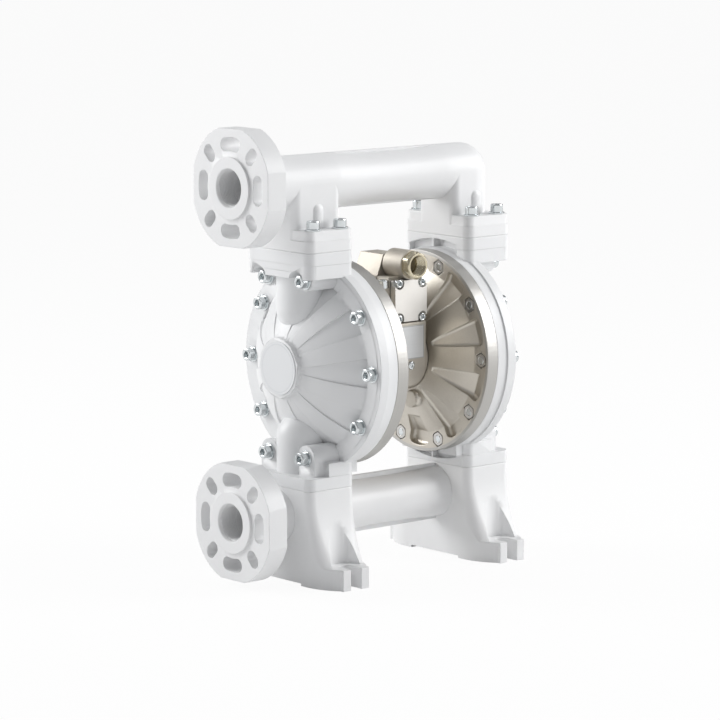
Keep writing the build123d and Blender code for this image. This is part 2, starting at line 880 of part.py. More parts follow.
def make_inlet_fitting():
    """Hexagonal reducer with an internal thread."""
    outline = Plane.XZ * RegularPolygon(inlet_flats / math.sqrt(3), 6, rotation=30)
    body = extrude(Pos(0, barrel_front, barrel_height) * outline, barrel_front - inlet_mouth)
    body &= rod_y(inlet_flats / 2 + inlet_crown, inlet_mouth, barrel_front, 0, barrel_height)
    end = barrel_front + inlet_neck_length
    body += rod_y(inlet_neck, barrel_front, end, 0, barrel_height)
    body -= rod_y(inlet_thread, inlet_mouth, inlet_mouth + inlet_thread_length, 0, barrel_height)
    return body - rod_y(inlet_bore, inlet_mouth, end, 0, barrel_height)


def make_silencer():
    """Exhaust silencer screwed into the back of the centre body."""
    body = rod_y(silencer_radius, silencer_start, silencer_end, 0, silencer_height)
    body = fillet(body.edges(), 3.0)
    for index in range(5):
        start = silencer_start + 8 + index * 8
        ring = rod_y(silencer_radius, start, start + 3, 0, silencer_height)
        body -= ring - rod_y(silencer_radius - 2, start, start + 3, 0, silencer_height)
    body += rod_y(silencer_neck + 5, hub_back, silencer_start, 0, silencer_height)
    return body + rod_y(silencer_neck, hub_back - 12, hub_back, 0, silencer_height)


def make_rod_bush():
    """Bearing bush of the rod."""
    span = (bush_start, bush_end)
    return rod_x(bush_radius, *span) - rod_x(rod_radius + bore_clearance, *span)


def make_rod_seal():
    """Seal ring beside the bush."""
    span = (bush_end, seal_end)
    return rod_x(bush_radius, *span) - rod_x(rod_radius + bore_clearance, *span)


def make_chamber_gasket():
    """Ring between the centre body and an air chamber."""
    start = hub_face - gasket_thickness
    ring = rod_x(hub_radius - 2, start, hub_face) - rod_x(rod_radius + 1, start, hub_face)
    ring -= rod_x(pilot_radius + 1, start, hub_face, 0, pilot_height)
    for y, z in centre_screw_places():
        ring -= rod_x(centre_screw_radius + hole_clearance, start, hub_face, y, z)
    return ring


def make_pilot_spool():
    """Pin through the centre body that the inner plates push at the ends of the stroke."""
    half = inner_plate_face() - stroke + pilot_shift - pilot_clearance
    return rod_x(pilot_radius, -half, half, 0, pilot_height)


# Ball valves

def make_seat(seam):
    """Seat ring whose top lies in the seam."""
    low = seam - seat_thickness
    return turned_z(Polyline(
        (seat_bore, low + 2),
        (seat_bore, seam - seat_cone),
        (seat_bore + seat_cone, seam),
        (seat_radius, seam),
        (seat_radius, low + 2),
        close=True,
    ), block_centre)


def make_seat_ring(seam):
    """Soft ring under a seat."""
    low = seam - seat_thickness
    ring = rod_z(seat_radius, low, low + 2, block_centre)
    return ring - rod_z(seat_radius - 2 * seat_ring_wire, low, low + 2, block_centre)


def make_ball(seam):
    """Valve ball on its seat."""
    return Pos(block_centre, 0, ball_rest(seam)) * Sphere(ball_radius)


# Manifolds

def flange_outline():
    """Round flange with four flats."""
    square = RectangleRounded(2 * flange_flat, 2 * flange_flat, flange_corner)
    return square & Circle(flange_radius)


def make_flange(height):
    """Flange at the left end of a manifold, facing -X."""
    plane = Plane(origin=(flange_back, 0, height), z_dir=(-1, 0, 0))
    sketch = flange_outline()
    span = math.degrees((curved_slot_length - slot_width) / curved_slot_radius)
    for index in range(4):
        arc = CenterArc((0, 0), curved_slot_radius, 90 * index - span / 2, span)
        sketch -= SlotArc(arc, slot_width)
        middle = (radial_slot_inner + radial_slot_outer) / 2
        radial = Pos(middle, 0) * SlotOverall(radial_slot_outer - radial_slot_inner, slot_width - 1)
        sketch -= Rot(0, 0, 90 * index + 45) * radial
    flange = extrude(plane * sketch, flange_back - flange_face)
    return flange + rod_x(raised_radius, raised_face, flange_back, 0, height)


def tube(height, end_radius, waist, end):
    """Manifold tube, waisted between the two legs, running from the flange to end."""
    inner = block_centre - block_length / 2
    outline = Polyline((flange_back, 0), (flange_back, end_radius), (-inner, end_radius))
    outline += ThreePointArc((-inner, end_radius), (0, waist), (inner, end_radius))
    outline += Polyline((inner, end_radius), (end, end_radius), (end, 0), (flange_back, 0))
    return Pos(0, 0, height) * turned_x(outline)


def port(height):
    """Threaded mouth, bore and chamfer of a flange."""
    deep = raised_face + port_thread_length
    cut = turned_x(Polyline(
        (raised_face, 0),
        (raised_face, port_thread + port_chamfer),
        (raised_face + port_chamfer, port_thread),
        (deep, port_thread),
        (deep, tube_bore),
        (block_centre, tube_bore),
        (block_centre, 0),
        close=True,
    ))
    return Pos(0, 0, height) * (cut + Pos(block_centre, 0, 0) * Sphere(tube_bore))


def fins(height, radius):
    """Thin rib over and under the waist of a tube."""
    inner = block_centre - block_length / 2
    width = (-fin_thickness / 2, fin_thickness / 2)
    return block((-inner, inner), width, (height - radius, height + radius))


def leg(centre, low):
    """Upright leg of the outlet manifold with rounded corners."""
    plan = Pos(centre, 0, low) * RectangleRounded(block_length, 2 * leg_half, leg_corner)
    return extrude(plan, outlet_axis - low)


def make_outlet_manifold():
    """Tube on two legs with bolted ears; the right-hand end turns down in a round elbow."""
    inner = block_centre - block_length / 2
    foot = outlet_seam + slab_thickness
    slabs = extrude(block_outline(outlet_seam), slab_thickness)
    slabs = chamfer(slabs.faces().sort_by(Axis.Z)[0].edges(), seam_chamfer)
    ears = extrude(block_outline(foot, ear_inset), ear_thickness)
    slabs += chamfer(ears.faces().sort_by(Axis.Z)[-1].edges(), seam_chamfer)
    slabs += other_side(slabs)
    manifold = slabs + tube(outlet_axis, tube_radius, waist_radius, block_centre)
    manifold += Pos(block_centre, 0, outlet_axis) * Sphere(tube_radius)
    manifold += rod_z(leg_half, foot, outlet_axis, block_centre)
    width = (-leg_half, leg_half)
    manifold += leg(block_centre, foot) & block((inner, block_centre), width, (foot, outlet_axis))
    manifold += leg(-block_centre, foot)
    manifold += fins(outlet_axis, tube_radius)
    manifold += make_flange(outlet_axis)
    for side in (-1, 1):
        for face in (-1, 1):
            ridge = (side * block_centre, face * (ridge_reach - ridge_radius))
            manifold += rod_z(ridge_radius, foot, ridge_top, *ridge)
            manifold += Pos(*ridge, ridge_top) * Sphere(ridge_radius)
    ear_top = foot + ear_thickness
    for x, y in bolt_places():
        for side in (-1, 1):
            manifold -= rod_z(screw_radius + hole_clearance, outlet_seam, ear_top, side * x, y)
    manifold -= port(outlet_axis)
    for side in (-1, 1):
        manifold -= ball_cage(outlet_seam, side * block_centre)
        manifold -= rod_z(port_radius, upper_cage_top(), outlet_axis, side * block_centre)
    return manifold


def upper_cage_top():
    """Top of the outlet ball's cage."""
    return ball_rest(outlet_seam) + ball_radius + ball_lift + lift_clearance + stop_height - 0.01


def foot_plan():
    """Plan of a foot: full width in the middle, drawn in to a tongue at each end."""
    half = block_length / 2
    shoulder = block_width / 2 - 4
    root = foot_half - tongue_root
    quarter = Line((half, 0), (half, shoulder))
    quarter += ThreePointArc((half, shoulder), (half - 5, root - 20), (tongue_half, root))
    quarter += Polyline((tongue_half, root), (tongue_half, foot_half), (0, foot_half))
    side = quarter + mirror(quarter, about=Plane.YZ)
    return Pos(block_centre, 0, 0) * make_face(side + mirror(side, about=Plane.XZ))


def foot_flare():
    """Flare of a foot: rounded sections from the block's outline out to the tongues."""
    middle = (flare_start + tongue_top) / 2 - flare_sag
    waist = RectangleRounded(block_length, 2 * flare_waist, flare_waist_corner)
    low = RectangleRounded(block_length, 2 * flare_foot, flare_corner)
    sections = [Pos(block_centre, 0, middle) * waist, Pos(block_centre, 0, tongue_top) * low]
    return loft([block_outline(flare_start)] + sections)


def make_foot():
    """Right-hand foot under a cover block."""
    low = -axis_height
    base = Pos(0, 0, low) * foot_plan()
    foot = foot_flare() & extrude(base, inlet_seam - low)
    foot += extrude(base, tongue_thickness)
    top = extrude(block_outline(flare_start), inlet_seam - flare_start)
    foot += chamfer(top.faces().sort_by(Axis.Z)[-1].edges(), seam_chamfer)
    slot = (block_centre - foot_slot_width / 2, block_centre + foot_slot_width / 2)
    for sign in (-1, 1):
        ends = sorted((sign * foot_slot_end, sign * (foot_half + 1)))
        foot -= rod_z(arch_radius, tongue_top, inlet_seam, block_centre, sign * arch_y)
        foot -= rod_z(foot_slot_width / 2, low, tongue_top, block_centre, sign * foot_slot_end)
        foot -= block(slot, ends, (low, tongue_top))
    foot -= block((0, 2 * block_centre), (-relief_half, relief_half), (low, low + relief_depth))
    return foot


def make_inlet_manifold():
    """Tube between two feet, with the flange at the left."""
    foot = make_foot()
    manifold = foot + other_side(foot)
    manifold += tube(inlet_axis, inlet_tube_radius, inlet_waist_radius, block_centre)
    manifold += fins(inlet_axis, inlet_tube_radius + 3)
    manifold += make_flange(inlet_axis)
    manifold -= port(inlet_axis)
    for side in (-1, 1):
        x = side * block_centre
        manifold -= rod_z(port_radius, inlet_axis, inlet_seam, x)
        manifold -= rod_z(seat_radius + bore_clearance, inlet_seam - seat_thickness, inlet_seam, x)
    for x, y in bolt_places():
        for side in (-1, 1):
            manifold -= rod_z(counterbore_radius, -axis_height, inlet_bolt_seat, side * x, y)
            manifold -= rod_z(screw_radius + hole_clearance, inlet_bolt_seat, inlet_seam, side * x, y)
    return manifold


# Fasteners

def make_cover_screws():
    """Cover screws of the right-hand side: shank from nut to seat, and head."""
    screws = []
    for y, z, tall in screw_places():
        seat = (tall_seat if tall else land_plane) + washer_thickness
        screw = rod_x(screw_radius, chamber_inner_face, seat, y, z)
        screw += rod_x(head_radius, seat, seat + head_height, y, z)
        key_start = (seat + head_height - socket_depth, y, z)
        screws.append(screw - hexagon(socket_key, key_start, (1, 0, 0), socket_depth))
    return screws


def make_cover_washers():
    """Washers under the cover screws of the right-hand side."""
    washers = []
    for y, z, tall in screw_places():
        seat = tall_seat if tall else land_plane
        ring = rod_x(washer_radius, seat, seat + washer_thickness, y, z)
        washers.append(ring - rod_x(screw_radius + hole_clearance, seat, seat + washer_thickness, y, z))
    return washers


def make_cover_nuts():
    """Captive nuts of the right-hand side."""
    nuts = []
    end = chamber_inner_face + nut_height
    for y, z, tall in screw_places():
        nut = hexagon(nut_flats, (chamber_inner_face, y, z), (1, 0, 0), nut_height)
        nuts.append(nut - rod_x(screw_radius + thread_clearance, chamber_inner_face, end, y, z))
    return nuts


def make_outlet_bolts():
    """Bolts of the right-hand outlet leg."""
    seat = outlet_seam + slab_thickness + ear_thickness + washer_thickness
    bolts = []
    for x, y in bolt_places():
        bolt = rod_z(screw_radius, outlet_seam - bolt_reach, seat, x, y)
        bolt += rod_z(head_radius, seat, seat + head_height, x, y)
        key_start = (x, y, seat + head_height - socket_depth)
        bolts.append(bolt - hexagon(socket_key, key_start, (0, 0, 1), socket_depth))
    return bolts


def make_outlet_washers():
    """Washers of the right-hand outlet leg."""
    seat = outlet_seam + slab_thickness + ear_thickness
    washers = []
    for x, y in bolt_places():
        ring = rod_z(washer_radius, seat, seat + washer_thickness, x, y)
        washers.append(ring - rod_z(screw_radius + hole_clearance, seat, seat + washer_thickness, x, y))
    return washers


def make_inlet_bolts():
    """Bolts of the right-hand foot, from below."""
    bolts = []
    for x, y in bolt_places():
        low = inlet_bolt_seat - head_height
        bolt = rod_z(screw_radius, inlet_bolt_seat, inlet_seam + inlet_bolt_reach, x, y)
        bolt += rod_z(head_radius, low, inlet_bolt_seat, x, y)
        bolts.append(bolt - hexagon(socket_key, (x, y, low), (0, 0, 1), socket_depth))
    return bolts


def both_sides(shapes):
    """A list of right-hand solids together with their left-hand copies."""
    return shapes + [other_side(shape) for shape in shapes]


nodes = {
    "outlet_manifold": make_outlet_manifold(),
    "inlet_manifold": make_inlet_manifold(),
    "centre_body": make_centre_body(),
    "valve_block": make_valve_block(),
    "block_gasket": make_block_gasket(),
    "valve_cover_plate": make_cover_plate(),
    "plate_gasket": make_plate_gasket(),
    "plate_screws": make_plate_screws(),
    "rating_plate": make_rating_plate(),
    "block_screw": make_block_screw(),
    "shoulder_screw": make_shoulder_screw(),
    "valve_sleeve": make_sleeve(),
    "main_spool": make_main_spool(),
    "spool_caps": make_spool_caps(),
    "air_inlet_fitting": make_inlet_fitting(),
    "silencer": make_silencer(),
    "pilot_spool": make_pilot_spool(),
    "diaphragm_rod": make_rod(),
    "chamber_screws": make_chamber_screws(),
    "cover_screws": both_sides(make_cover_screws()),
    "cover_washers": both_sides(make_cover_washers()),
    "cover_nuts": both_sides(make_cover_nuts()),
    "outlet_bolts": both_sides(make_outlet_bolts()),
    "outlet_washers": both_sides(make_outlet_washers()),
    "inlet_bolts": both_sides(make_inlet_bolts()),
    "seat_rings": both_sides([make_seat_ring(outlet_seam), make_seat_ring(inlet_seam)]),
}
paired = {
    "fluid_cover": make_fluid_cover(),
    "badge": make_badge(),
    "air_chamber": make_air_chamber(),
    "diaphragm": make_diaphragm(),
    "inner_plate": make_inner_plate(),
    "outer_plate": make_outer_plate(),
    "rod_nut": make_rod_nut(),
    "rod_bush": make_rod_bush(),
    "rod_seal": make_rod_seal(),
    "chamber_gasket": make_chamber_gasket(),
    "outlet_seat": make_seat(outlet_seam),
    "inlet_seat": make_seat(inlet_seam),
    "outlet_ball": make_ball(outlet_seam),
    "inlet_ball": make_ball(inlet_seam),
}
for name, shape in paired.items():
    nodes[name + "_right"] = shape
    nodes[name + "_left"] = other_side(shape)

os.makedirs("parts", exist_ok=True)
for name, shape in nodes.items():
    solids = shape if isinstance(shape, list) else [shape]
    group = Compound(children=[Pos(0, 0, axis_height) * solid for solid in solids])
    group.label = name
    export_step(group, f"parts/{name}.step")
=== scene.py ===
import bmesh
import bpy
import json
import math
from mathutils import Matrix, Vector

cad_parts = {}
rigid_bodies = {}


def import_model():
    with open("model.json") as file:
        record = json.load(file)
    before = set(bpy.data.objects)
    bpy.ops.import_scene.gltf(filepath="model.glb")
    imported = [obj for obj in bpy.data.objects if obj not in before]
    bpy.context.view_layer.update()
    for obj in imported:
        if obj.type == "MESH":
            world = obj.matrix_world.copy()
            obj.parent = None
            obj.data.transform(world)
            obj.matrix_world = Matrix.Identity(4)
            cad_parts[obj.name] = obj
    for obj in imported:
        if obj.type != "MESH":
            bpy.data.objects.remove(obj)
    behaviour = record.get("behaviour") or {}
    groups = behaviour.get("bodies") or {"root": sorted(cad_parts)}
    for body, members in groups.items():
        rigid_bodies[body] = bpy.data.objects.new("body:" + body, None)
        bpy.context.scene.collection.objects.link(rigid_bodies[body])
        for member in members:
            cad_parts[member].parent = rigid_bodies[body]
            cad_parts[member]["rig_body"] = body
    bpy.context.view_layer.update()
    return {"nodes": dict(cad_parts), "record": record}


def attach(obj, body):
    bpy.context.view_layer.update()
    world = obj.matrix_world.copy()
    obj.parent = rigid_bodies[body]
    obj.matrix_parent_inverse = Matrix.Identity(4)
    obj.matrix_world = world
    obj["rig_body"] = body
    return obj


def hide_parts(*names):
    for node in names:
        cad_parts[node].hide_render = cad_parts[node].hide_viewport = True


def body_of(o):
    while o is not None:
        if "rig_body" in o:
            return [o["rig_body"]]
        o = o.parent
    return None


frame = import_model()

print("frame loaded:", len(frame["nodes"]), "nodes")

mm = 0.001
axisHeight = 265 * mm


# Shader maths: a Wire is one socket, and sums of wires add their own Math nodes

class Wire:
    def __init__(self, shader, socket):
        self.shader = shader
        self.socket = socket

    def mathsWith(self, operation, first, second=0.0):
        return self.shader.node("ShaderNodeMath", {"operation": operation}, {0: first, 1: second})

    def __add__(self, other):
        return self.mathsWith("ADD", self, other)

    def __sub__(self, other):
        return self.mathsWith("SUBTRACT", self, other)

    def __rsub__(self, other):
        return self.mathsWith("SUBTRACT", other, self)

    def __mul__(self, other):
        return self.mathsWith("MULTIPLY", self, other)

    def __pow__(self, other):
        return self.mathsWith("POWER", self, other)

    def __gt__(self, other):
        return self.mathsWith("GREATER_THAN", self, other)

    def __lt__(self, other):
        return self.mathsWith("LESS_THAN", self, other)


class Finish:
    def __init__(self, name, colour, roughness, metallic=0.0, coat=0.0):
        self.material = bpy.data.materials.new(name)
        self.material.use_nodes = True
        self.nodes = self.material.node_tree.nodes
        self.links = self.material.node_tree.links
        self.surface = self.nodes["Principled BSDF"]
        self.material.diffuse_color = (*colour, 1.0)
        self.set("Base Color", (*colour, 1.0))
        self.set("Roughness", roughness)
        self.set("Metallic", metallic)
        self.set("Coat Weight", coat)

    def set(self, socketName, value):
        self.feed(self.surface.inputs[socketName], value)

    def feed(self, socket, value):
        if isinstance(value, Wire):
            self.links.new(value.socket, socket)
        else:
            socket.default_value = value

    def node(self, kind, settings=None, inputs=None, output=0):
        made = self.nodes.new(kind)
        for name, value in (settings or {}).items():
            setattr(made, name, value)
        for name, value in (inputs or {}).items():
            self.feed(made.inputs[name], value)
        return Wire(self, made.outputs[output])

    def place(self):
        return self.node("ShaderNodeTexCoord", output="Object")

    def stretched(self, scale):
        return self.node("ShaderNodeMapping", {}, {"Vector": self.place(), "Scale": scale})

    def noise(self, scale, detail=3.0, roughness=0.5, vector=None):
        inputs = {
            "Vector": vector or self.place(), "Scale": scale, "Detail": detail, "Roughness": roughness,
        }
        return self.node("ShaderNodeTexNoise", {}, inputs)

    def mixed(self, factor, first, second):
        # sockets 6 and 7 of a Mix node take its two colours, and output 2 gives the mixed one
        colours = [value if isinstance(value, Wire) else (*value, 1.0) for value in (first, second)]
        settings = {"data_type": "RGBA", "blend_type": "MIX"}
        return self.node("ShaderNodeMix", settings, {0: factor, 6: colours[0], 7: colours[1]}, output=2)

    def axes(self):
        parts = self.node("ShaderNodeSeparateXYZ", {}, {0: self.place()})
        return [Wire(self, parts.socket.node.outputs[index]) for index in range(3)]

    def edges(self, radius):
        return self.node("ShaderNodeBevel", {"samples": 4}, {"Radius": radius})

    def bump(self, height, distance, strength=1.0, rounding=None):
        inputs = {"Height": height, "Distance": distance, "Strength": strength}
        if rounding:
            inputs["Normal"] = self.edges(rounding)
        self.set("Normal", self.node("ShaderNodeBump", {}, inputs))


# Finishes. Noises are given by scale, detail and roughness.

def makeMouldedWhite(name, colour, roughness):
    look = {
        "grain": (2600, 2.0), "grainDepth": 0.02 * mm, "grainStrength": 0.6, "grainGloss": 0.03,
        "flow": (9, 4.0, 0.55), "flowGloss": 0.10, "shadeOfFlow": 0.965, "middleGloss": 0.05,
        "edge": 1.3 * mm,
    }
    finish = Finish(name, colour, roughness)
    grain = finish.noise(*look["grain"])
    flow = finish.noise(*look["flow"])
    darker = tuple(channel * look["shadeOfFlow"] for channel in colour)
    finish.set("Base Color", finish.mixed(flow, darker, colour))
    smooth = flow * look["flowGloss"] + (roughness - look["middleGloss"])
    finish.set("Roughness", smooth + grain * look["grainGloss"])
    finish.bump(grain, look["grainDepth"], look["grainStrength"], look["edge"])
    return finish


def makeCastAluminium():
    # rough casting inside the turned radius, fine turning lines on the rim outside it
    look = {
        "turnedRadius": 124.5 * mm, "edge": 1.8 * mm, "depth": 0.25 * mm, "strength": 0.5,
        "skin": (420, 5.0, 0.6), "skinShare": 0.4, "patches": (28, 3.0), "patchShare": 0.6,
        "lines": (1.0, 2.0), "lineStretch": (5200, 3, 3), "lineDepth": 0.06,
        "gloss": 0.14, "roughLevel": 0.33, "turnedLevel": 0.36,
        "roughDark": (0.48, 0.445, 0.39), "roughLight": (0.72, 0.685, 0.62),
        "turnedDark": (0.42, 0.41, 0.39), "turnedLight": (0.58, 0.57, 0.55),
    }
    finish = Finish("castAluminium", (0.62, 0.60, 0.56), 0.4, 0.94)
    x, y, z = finish.axes()
    z = z - axisHeight
    turned = (y * y + z * z) ** 0.5 > look["turnedRadius"]
    skin = finish.noise(*look["skin"])
    patches = finish.noise(*look["patches"])
    lines = finish.noise(*look["lines"], vector=finish.stretched(look["lineStretch"]))
    stain = patches * look["patchShare"] + skin * look["skinShare"]
    rough = finish.mixed(stain, look["roughDark"], look["roughLight"])
    bright = finish.mixed(lines, look["turnedDark"], look["turnedLight"])
    finish.set("Base Color", finish.mixed(turned, rough, bright))
    roughPart = (1 - turned) * (skin * look["gloss"] + look["roughLevel"])
    finish.set("Roughness", roughPart + turned * (lines * look["gloss"] + look["turnedLevel"]))
    height = (1 - turned) * skin + turned * (lines * look["lineDepth"])
    finish.bump(height, look["depth"], look["strength"], look["edge"])
    return finish


def makeMetal(name, dark, light, roughness, grain=900, depth=0.01 * mm, edge=0.25 * mm):
    look = {
        "fineDetail": 3.0, "fineGloss": 0.10, "cloud": (60, 3.0), "cloudGloss": 0.08, "middleGloss": 0.09,
        "strength": 0.5,
    }
    finish = Finish(name, light, roughness, 1.0)
    fine = finish.noise(grain, look["fineDetail"])
    cloud = finish.noise(*look["cloud"])
    finish.set("Base Color", finish.mixed(cloud, dark, light))
    gloss = fine * look["fineGloss"] + cloud * look["cloudGloss"]
    finish.set("Roughness", gloss + (roughness - look["middleGloss"]))
    finish.bump(fine, depth, look["strength"], edge)
    return finish


def makeLabelFilm():
    # blank brushed film with a darker border
    look = {
        "width": 43 * mm, "low": 267 * mm, "high": 308.5 * mm, "border": 1.2 * mm,
        "streaks": (1.0, 3.0), "streakStretch": (60, 60, 4200), "streakDepth": 0.01 * mm,
        "streakGloss": 0.14, "level": 0.26, "strength": 0.4,
        "borderColour": (0.50, 0.51, 0.52), "dark": (0.66, 0.67, 0.68), "light": (0.80, 0.81, 0.82),
    }
    finish = Finish("labelFilm", (0.74, 0.75, 0.76), 0.34, 0.75)
    streaks = finish.noise(*look["streaks"], vector=finish.stretched(look["streakStretch"]))
    x, y, z = finish.axes()
    side = x * x > (look["width"] / 2 - look["border"]) ** 2
    middle = (look["low"] + look["high"]) / 2
    half = (look["high"] - look["low"]) / 2 - look["border"]
    above = (z - middle) * (z - middle) > half ** 2
    border = finish.node("ShaderNodeMath", {"operation": "MAXIMUM"}, {0: side, 1: above})
    film = finish.mixed(streaks, look["dark"], look["light"])
    finish.set("Base Color", finish.mixed(border, film, look["borderColour"]))
    finish.set("Roughness", streaks * look["streakGloss"] + look["level"])
    finish.bump(streaks, look["streakDepth"], look["strength"])
    return finish


def makeBadgeFace():
    # blank disc with one fine grey ring
    look = {
        "ring": 29.5 * mm, "ringHalf": 0.5 * mm, "ringDepth": 0.15 * mm, "edge": 0.4 * mm,
        "cloud": (14, 2.0), "cloudShare": 0.1, "cloudGloss": 0.08, "lineShare": 0.6, "lineGloss": 0.1,
        "level": 0.2, "strength": 0.7, "face": (0.81, 0.82, 0.83), "line": (0.62, 0.64, 0.66),
    }
    finish = Finish("badgeFace", (0.80, 0.81, 0.82), 0.25)
    x, y, z = finish.axes()
    z = z - axisHeight
    offset = (y * y + z * z) ** 0.5 - look["ring"]
    line = offset * offset < look["ringHalf"] ** 2
    cloud = finish.noise(*look["cloud"])
    grey = line * look["lineShare"] + cloud * look["cloudShare"]
    finish.set("Base Color", finish.mixed(grey, look["face"], look["line"]))
    finish.set("Roughness", cloud * look["cloudGloss"] + look["level"] + line * look["lineGloss"])
    finish.bump(1 - line, look["ringDepth"], look["strength"], look["edge"])
    return finish


def makeSoftPart(name, dark, light, roughness, grain, depth):
    look = {
        "fineDetail": 3.0, "cloud": (40, 2.0), "cloudGloss": 0.12, "edge": 0.3 * mm, "strength": 0.6,
    }
    finish = Finish(name, light, roughness)
    fine = finish.noise(grain, look["fineDetail"])
    cloud = finish.noise(*look["cloud"])
    finish.set("Base Color", finish.mixed(cloud, dark, light))
    finish.set("Roughness", cloud * look["cloudGloss"] + (roughness - look["cloudGloss"] / 2))
    finish.bump(fine, depth, look["strength"], look["edge"])
    return finish


coverWhite = makeMouldedWhite("coverWhite", (0.835, 0.84, 0.845), 0.36)
manifoldWhite = makeMouldedWhite("manifoldWhite", (0.86, 0.862, 0.865), 0.38)
castAluminium = makeCastAluminium()
zincBright = makeMetal("zincBright", (0.56, 0.59, 0.60), (0.80, 0.83, 0.84), 0.17)
platedBody = makeMetal(
    "platedBody", (0.50, 0.465, 0.41), (0.68, 0.64, 0.575), 0.6, grain=520, depth=0.12 * mm, edge=1.2 * mm
)
platedPlate = makeMetal(
    "platedPlate", (0.72, 0.70, 0.67), (0.80, 0.78, 0.745), 0.5, grain=700, depth=0.05 * mm, edge=0.6 * mm
)
nutSteel = makeMetal("nutSteel", (0.52, 0.51, 0.49), (0.70, 0.68, 0.66), 0.3)
# painted shade: near-black zinc that stands in for the shade inside the screw sockets and in the gaps round
# the nuts
socketDark = makeMetal("socketDark", (0.05, 0.06, 0.06), (0.13, 0.14, 0.14), 0.35)
nickelBrass = makeMetal("nickelBrass", (0.52, 0.47, 0.34), (0.68, 0.62, 0.48), 0.26)
turnedSteel = makeMetal("turnedSteel", (0.52, 0.52, 0.53), (0.70, 0.70, 0.71), 0.3, 1400)
turnedAluminium = makeMetal("turnedAluminium", (0.60, 0.60, 0.61), (0.76, 0.76, 0.77), 0.36, 1200)
bushBronze = makeMetal("bushBronze", (0.42, 0.27, 0.12), (0.62, 0.43, 0.22), 0.38)
labelFilm = makeLabelFilm()
badgeFace = makeBadgeFace()
diaphragmRubber = makeSoftPart(
    "diaphragmRubber", (0.02, 0.02, 0.02), (0.05, 0.05, 0.05), 0.65, 1800, 0.03 * mm
)
gasketRubber = makeSoftPart("gasketRubber", (0.03, 0.03, 0.03), (0.07, 0.07, 0.07), 0.6, 1500, 0.02 * mm)
ballWhite = makeSoftPart("ballWhite", (0.80, 0.80, 0.77), (0.88, 0.88, 0.86), 0.3, 2000, 0.005 * mm)
spoolPlastic = makeSoftPart("spoolPlastic", (0.06, 0.06, 0.06), (0.11, 0.11, 0.12), 0.4, 1500, 0.01 * mm)
porousPlastic = makeSoftPart("porousPlastic", (0.52, 0.52, 0.50), (0.70, 0.70, 0.68), 0.8, 900, 0.2 * mm)
print("finishes made:", len(bpy.data.materials))


# Pieces

weldDistance = 0.002 * mm
joinDistance = 0.001 * mm
sliverLength = 0.004 * mm
sharpAngle = math.radians(13)


def addPiece(name, mesh, finish, body, replaced=(), slot=None, second=None):
    piece = bpy.data.objects.new(name, mesh)
    bpy.context.scene.collection.objects.link(piece)
    mesh.materials.clear()
    mesh.materials.append(finish.material)
    if second:
        mesh.materials.append(second.material)
    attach(piece, body)
    if replaced:
        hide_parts(*replaced)
    return piece


def bodyOf(node):
    return body_of(frame["nodes"][node])[0]


def slotOf(node):
    return next(entry["material_slot"] for entry in frame["record"]["subparts"] if entry["node"] == node)


def meshFrom(bm, name, angle=35):
    bmesh.ops.recalc_face_normals(bm, faces=bm.faces)
    mesh = bpy.data.meshes.new(name)
    bm.to_mesh(mesh)
    bm.free()
    mesh.shade_smooth()
    mesh.set_sharp_from_angle(angle=math.radians(angle))
    return mesh


def joinInto(bm, part):
    bmesh.ops.recalc_face_normals(part, faces=part.faces)
    holder = bpy.data.meshes.new("holder")
    part.to_mesh(holder)
    part.free()
    bm.from_mesh(holder)
    bpy.data.meshes.remove(holder)


def spinProfile(bm, profile, steps):
    # closed (radius, height) outline turned once about Z
    verts = [bm.verts.new((radius, 0, height)) for radius, height in profile]
    edges = [bm.edges.new((verts[index - 1], verts[index])) for index in range(len(verts))]
    bmesh.ops.spin(
        bm, geom=verts + edges, cent=(0, 0, 0), axis=(0, 0, 1), angle=2 * math.pi, steps=steps,
        use_merge=True
    )
    bmesh.ops.remove_doubles(bm, verts=bm.verts, dist=joinDistance)


def combine(piece, mesh, operation):
    # boolean of a piece with a mesh that doesn't stay in the scene
    other = bpy.data.objects.new(mesh.name, mesh)
    bpy.context.scene.collection.objects.link(other)
    change = piece.modifiers.new(mesh.name, "BOOLEAN")
    change.operation = operation
    change.solver = "EXACT"
    change.object = other
    seen = piece.evaluated_get(bpy.context.evaluated_depsgraph_get())
    changed = bpy.data.meshes.new_from_object(seen)
    piece.modifiers.remove(change)
    piece.data = changed
    bpy.data.objects.remove(other)


# Pockets of the air chambers. In the solids they stand in line with the nuts; here the wall is first
# levelled and the pockets are then cut between the nuts, where the photograph has them.

chamberWall = {
    "hub": (47 * mm, 40 * mm), "spokeSlope": 0.4509, "endFace": 65.7 * mm, "steps": 240,
    "ring": ((48.5, 40.6), (104, 65.62), (105.7, 65.62), (105.7, 74.8), (98, 72.2), (48.5, 49.7)),
}
pocketShape = {
    "count": 10, "start": 51 * mm, "startHalf": 4.2 * mm, "flare": 0.227,
    "bend": (104 * mm, 16.2 * mm), "shoulder": (116.5 * mm, 18.8 * mm), "end": (121.5 * mm, 9 * mm),
    "above": 4 * mm, "floorFrom": (49 * mm, 41.4 * mm), "floorSlope": 0.592, "floorEnd": 74 * mm,
    "corner": 5 * mm, "cornerSteps": 5, "floorRounding": 4.6 * mm, "floorSteps": 6, "floorFacing": 0.7,
    "bossPocket": 7, "bossClear": 82 * mm,
}
nutRecess = {"circle": 115 * mm, "flats": 18 * mm, "middle": 68.7 * mm, "depth": 10 * mm}


def chamberFrame(angle):
    # reach, width and depth of a shape go to its place on the right-hand air chamber
    cosine, sine = math.cos(angle), math.sin(angle)
    return Matrix(((0, 0, 1, 0), (cosine, -sine, 0, 0), (sine, cosine, 0, axisHeight), (0, 0, 0, 1)))


def wallAt(reach):
    hubRadius, hubFace = chamberWall["hub"]
    return min(hubFace + (reach - hubRadius) * chamberWall["spokeSlope"], chamberWall["endFace"])


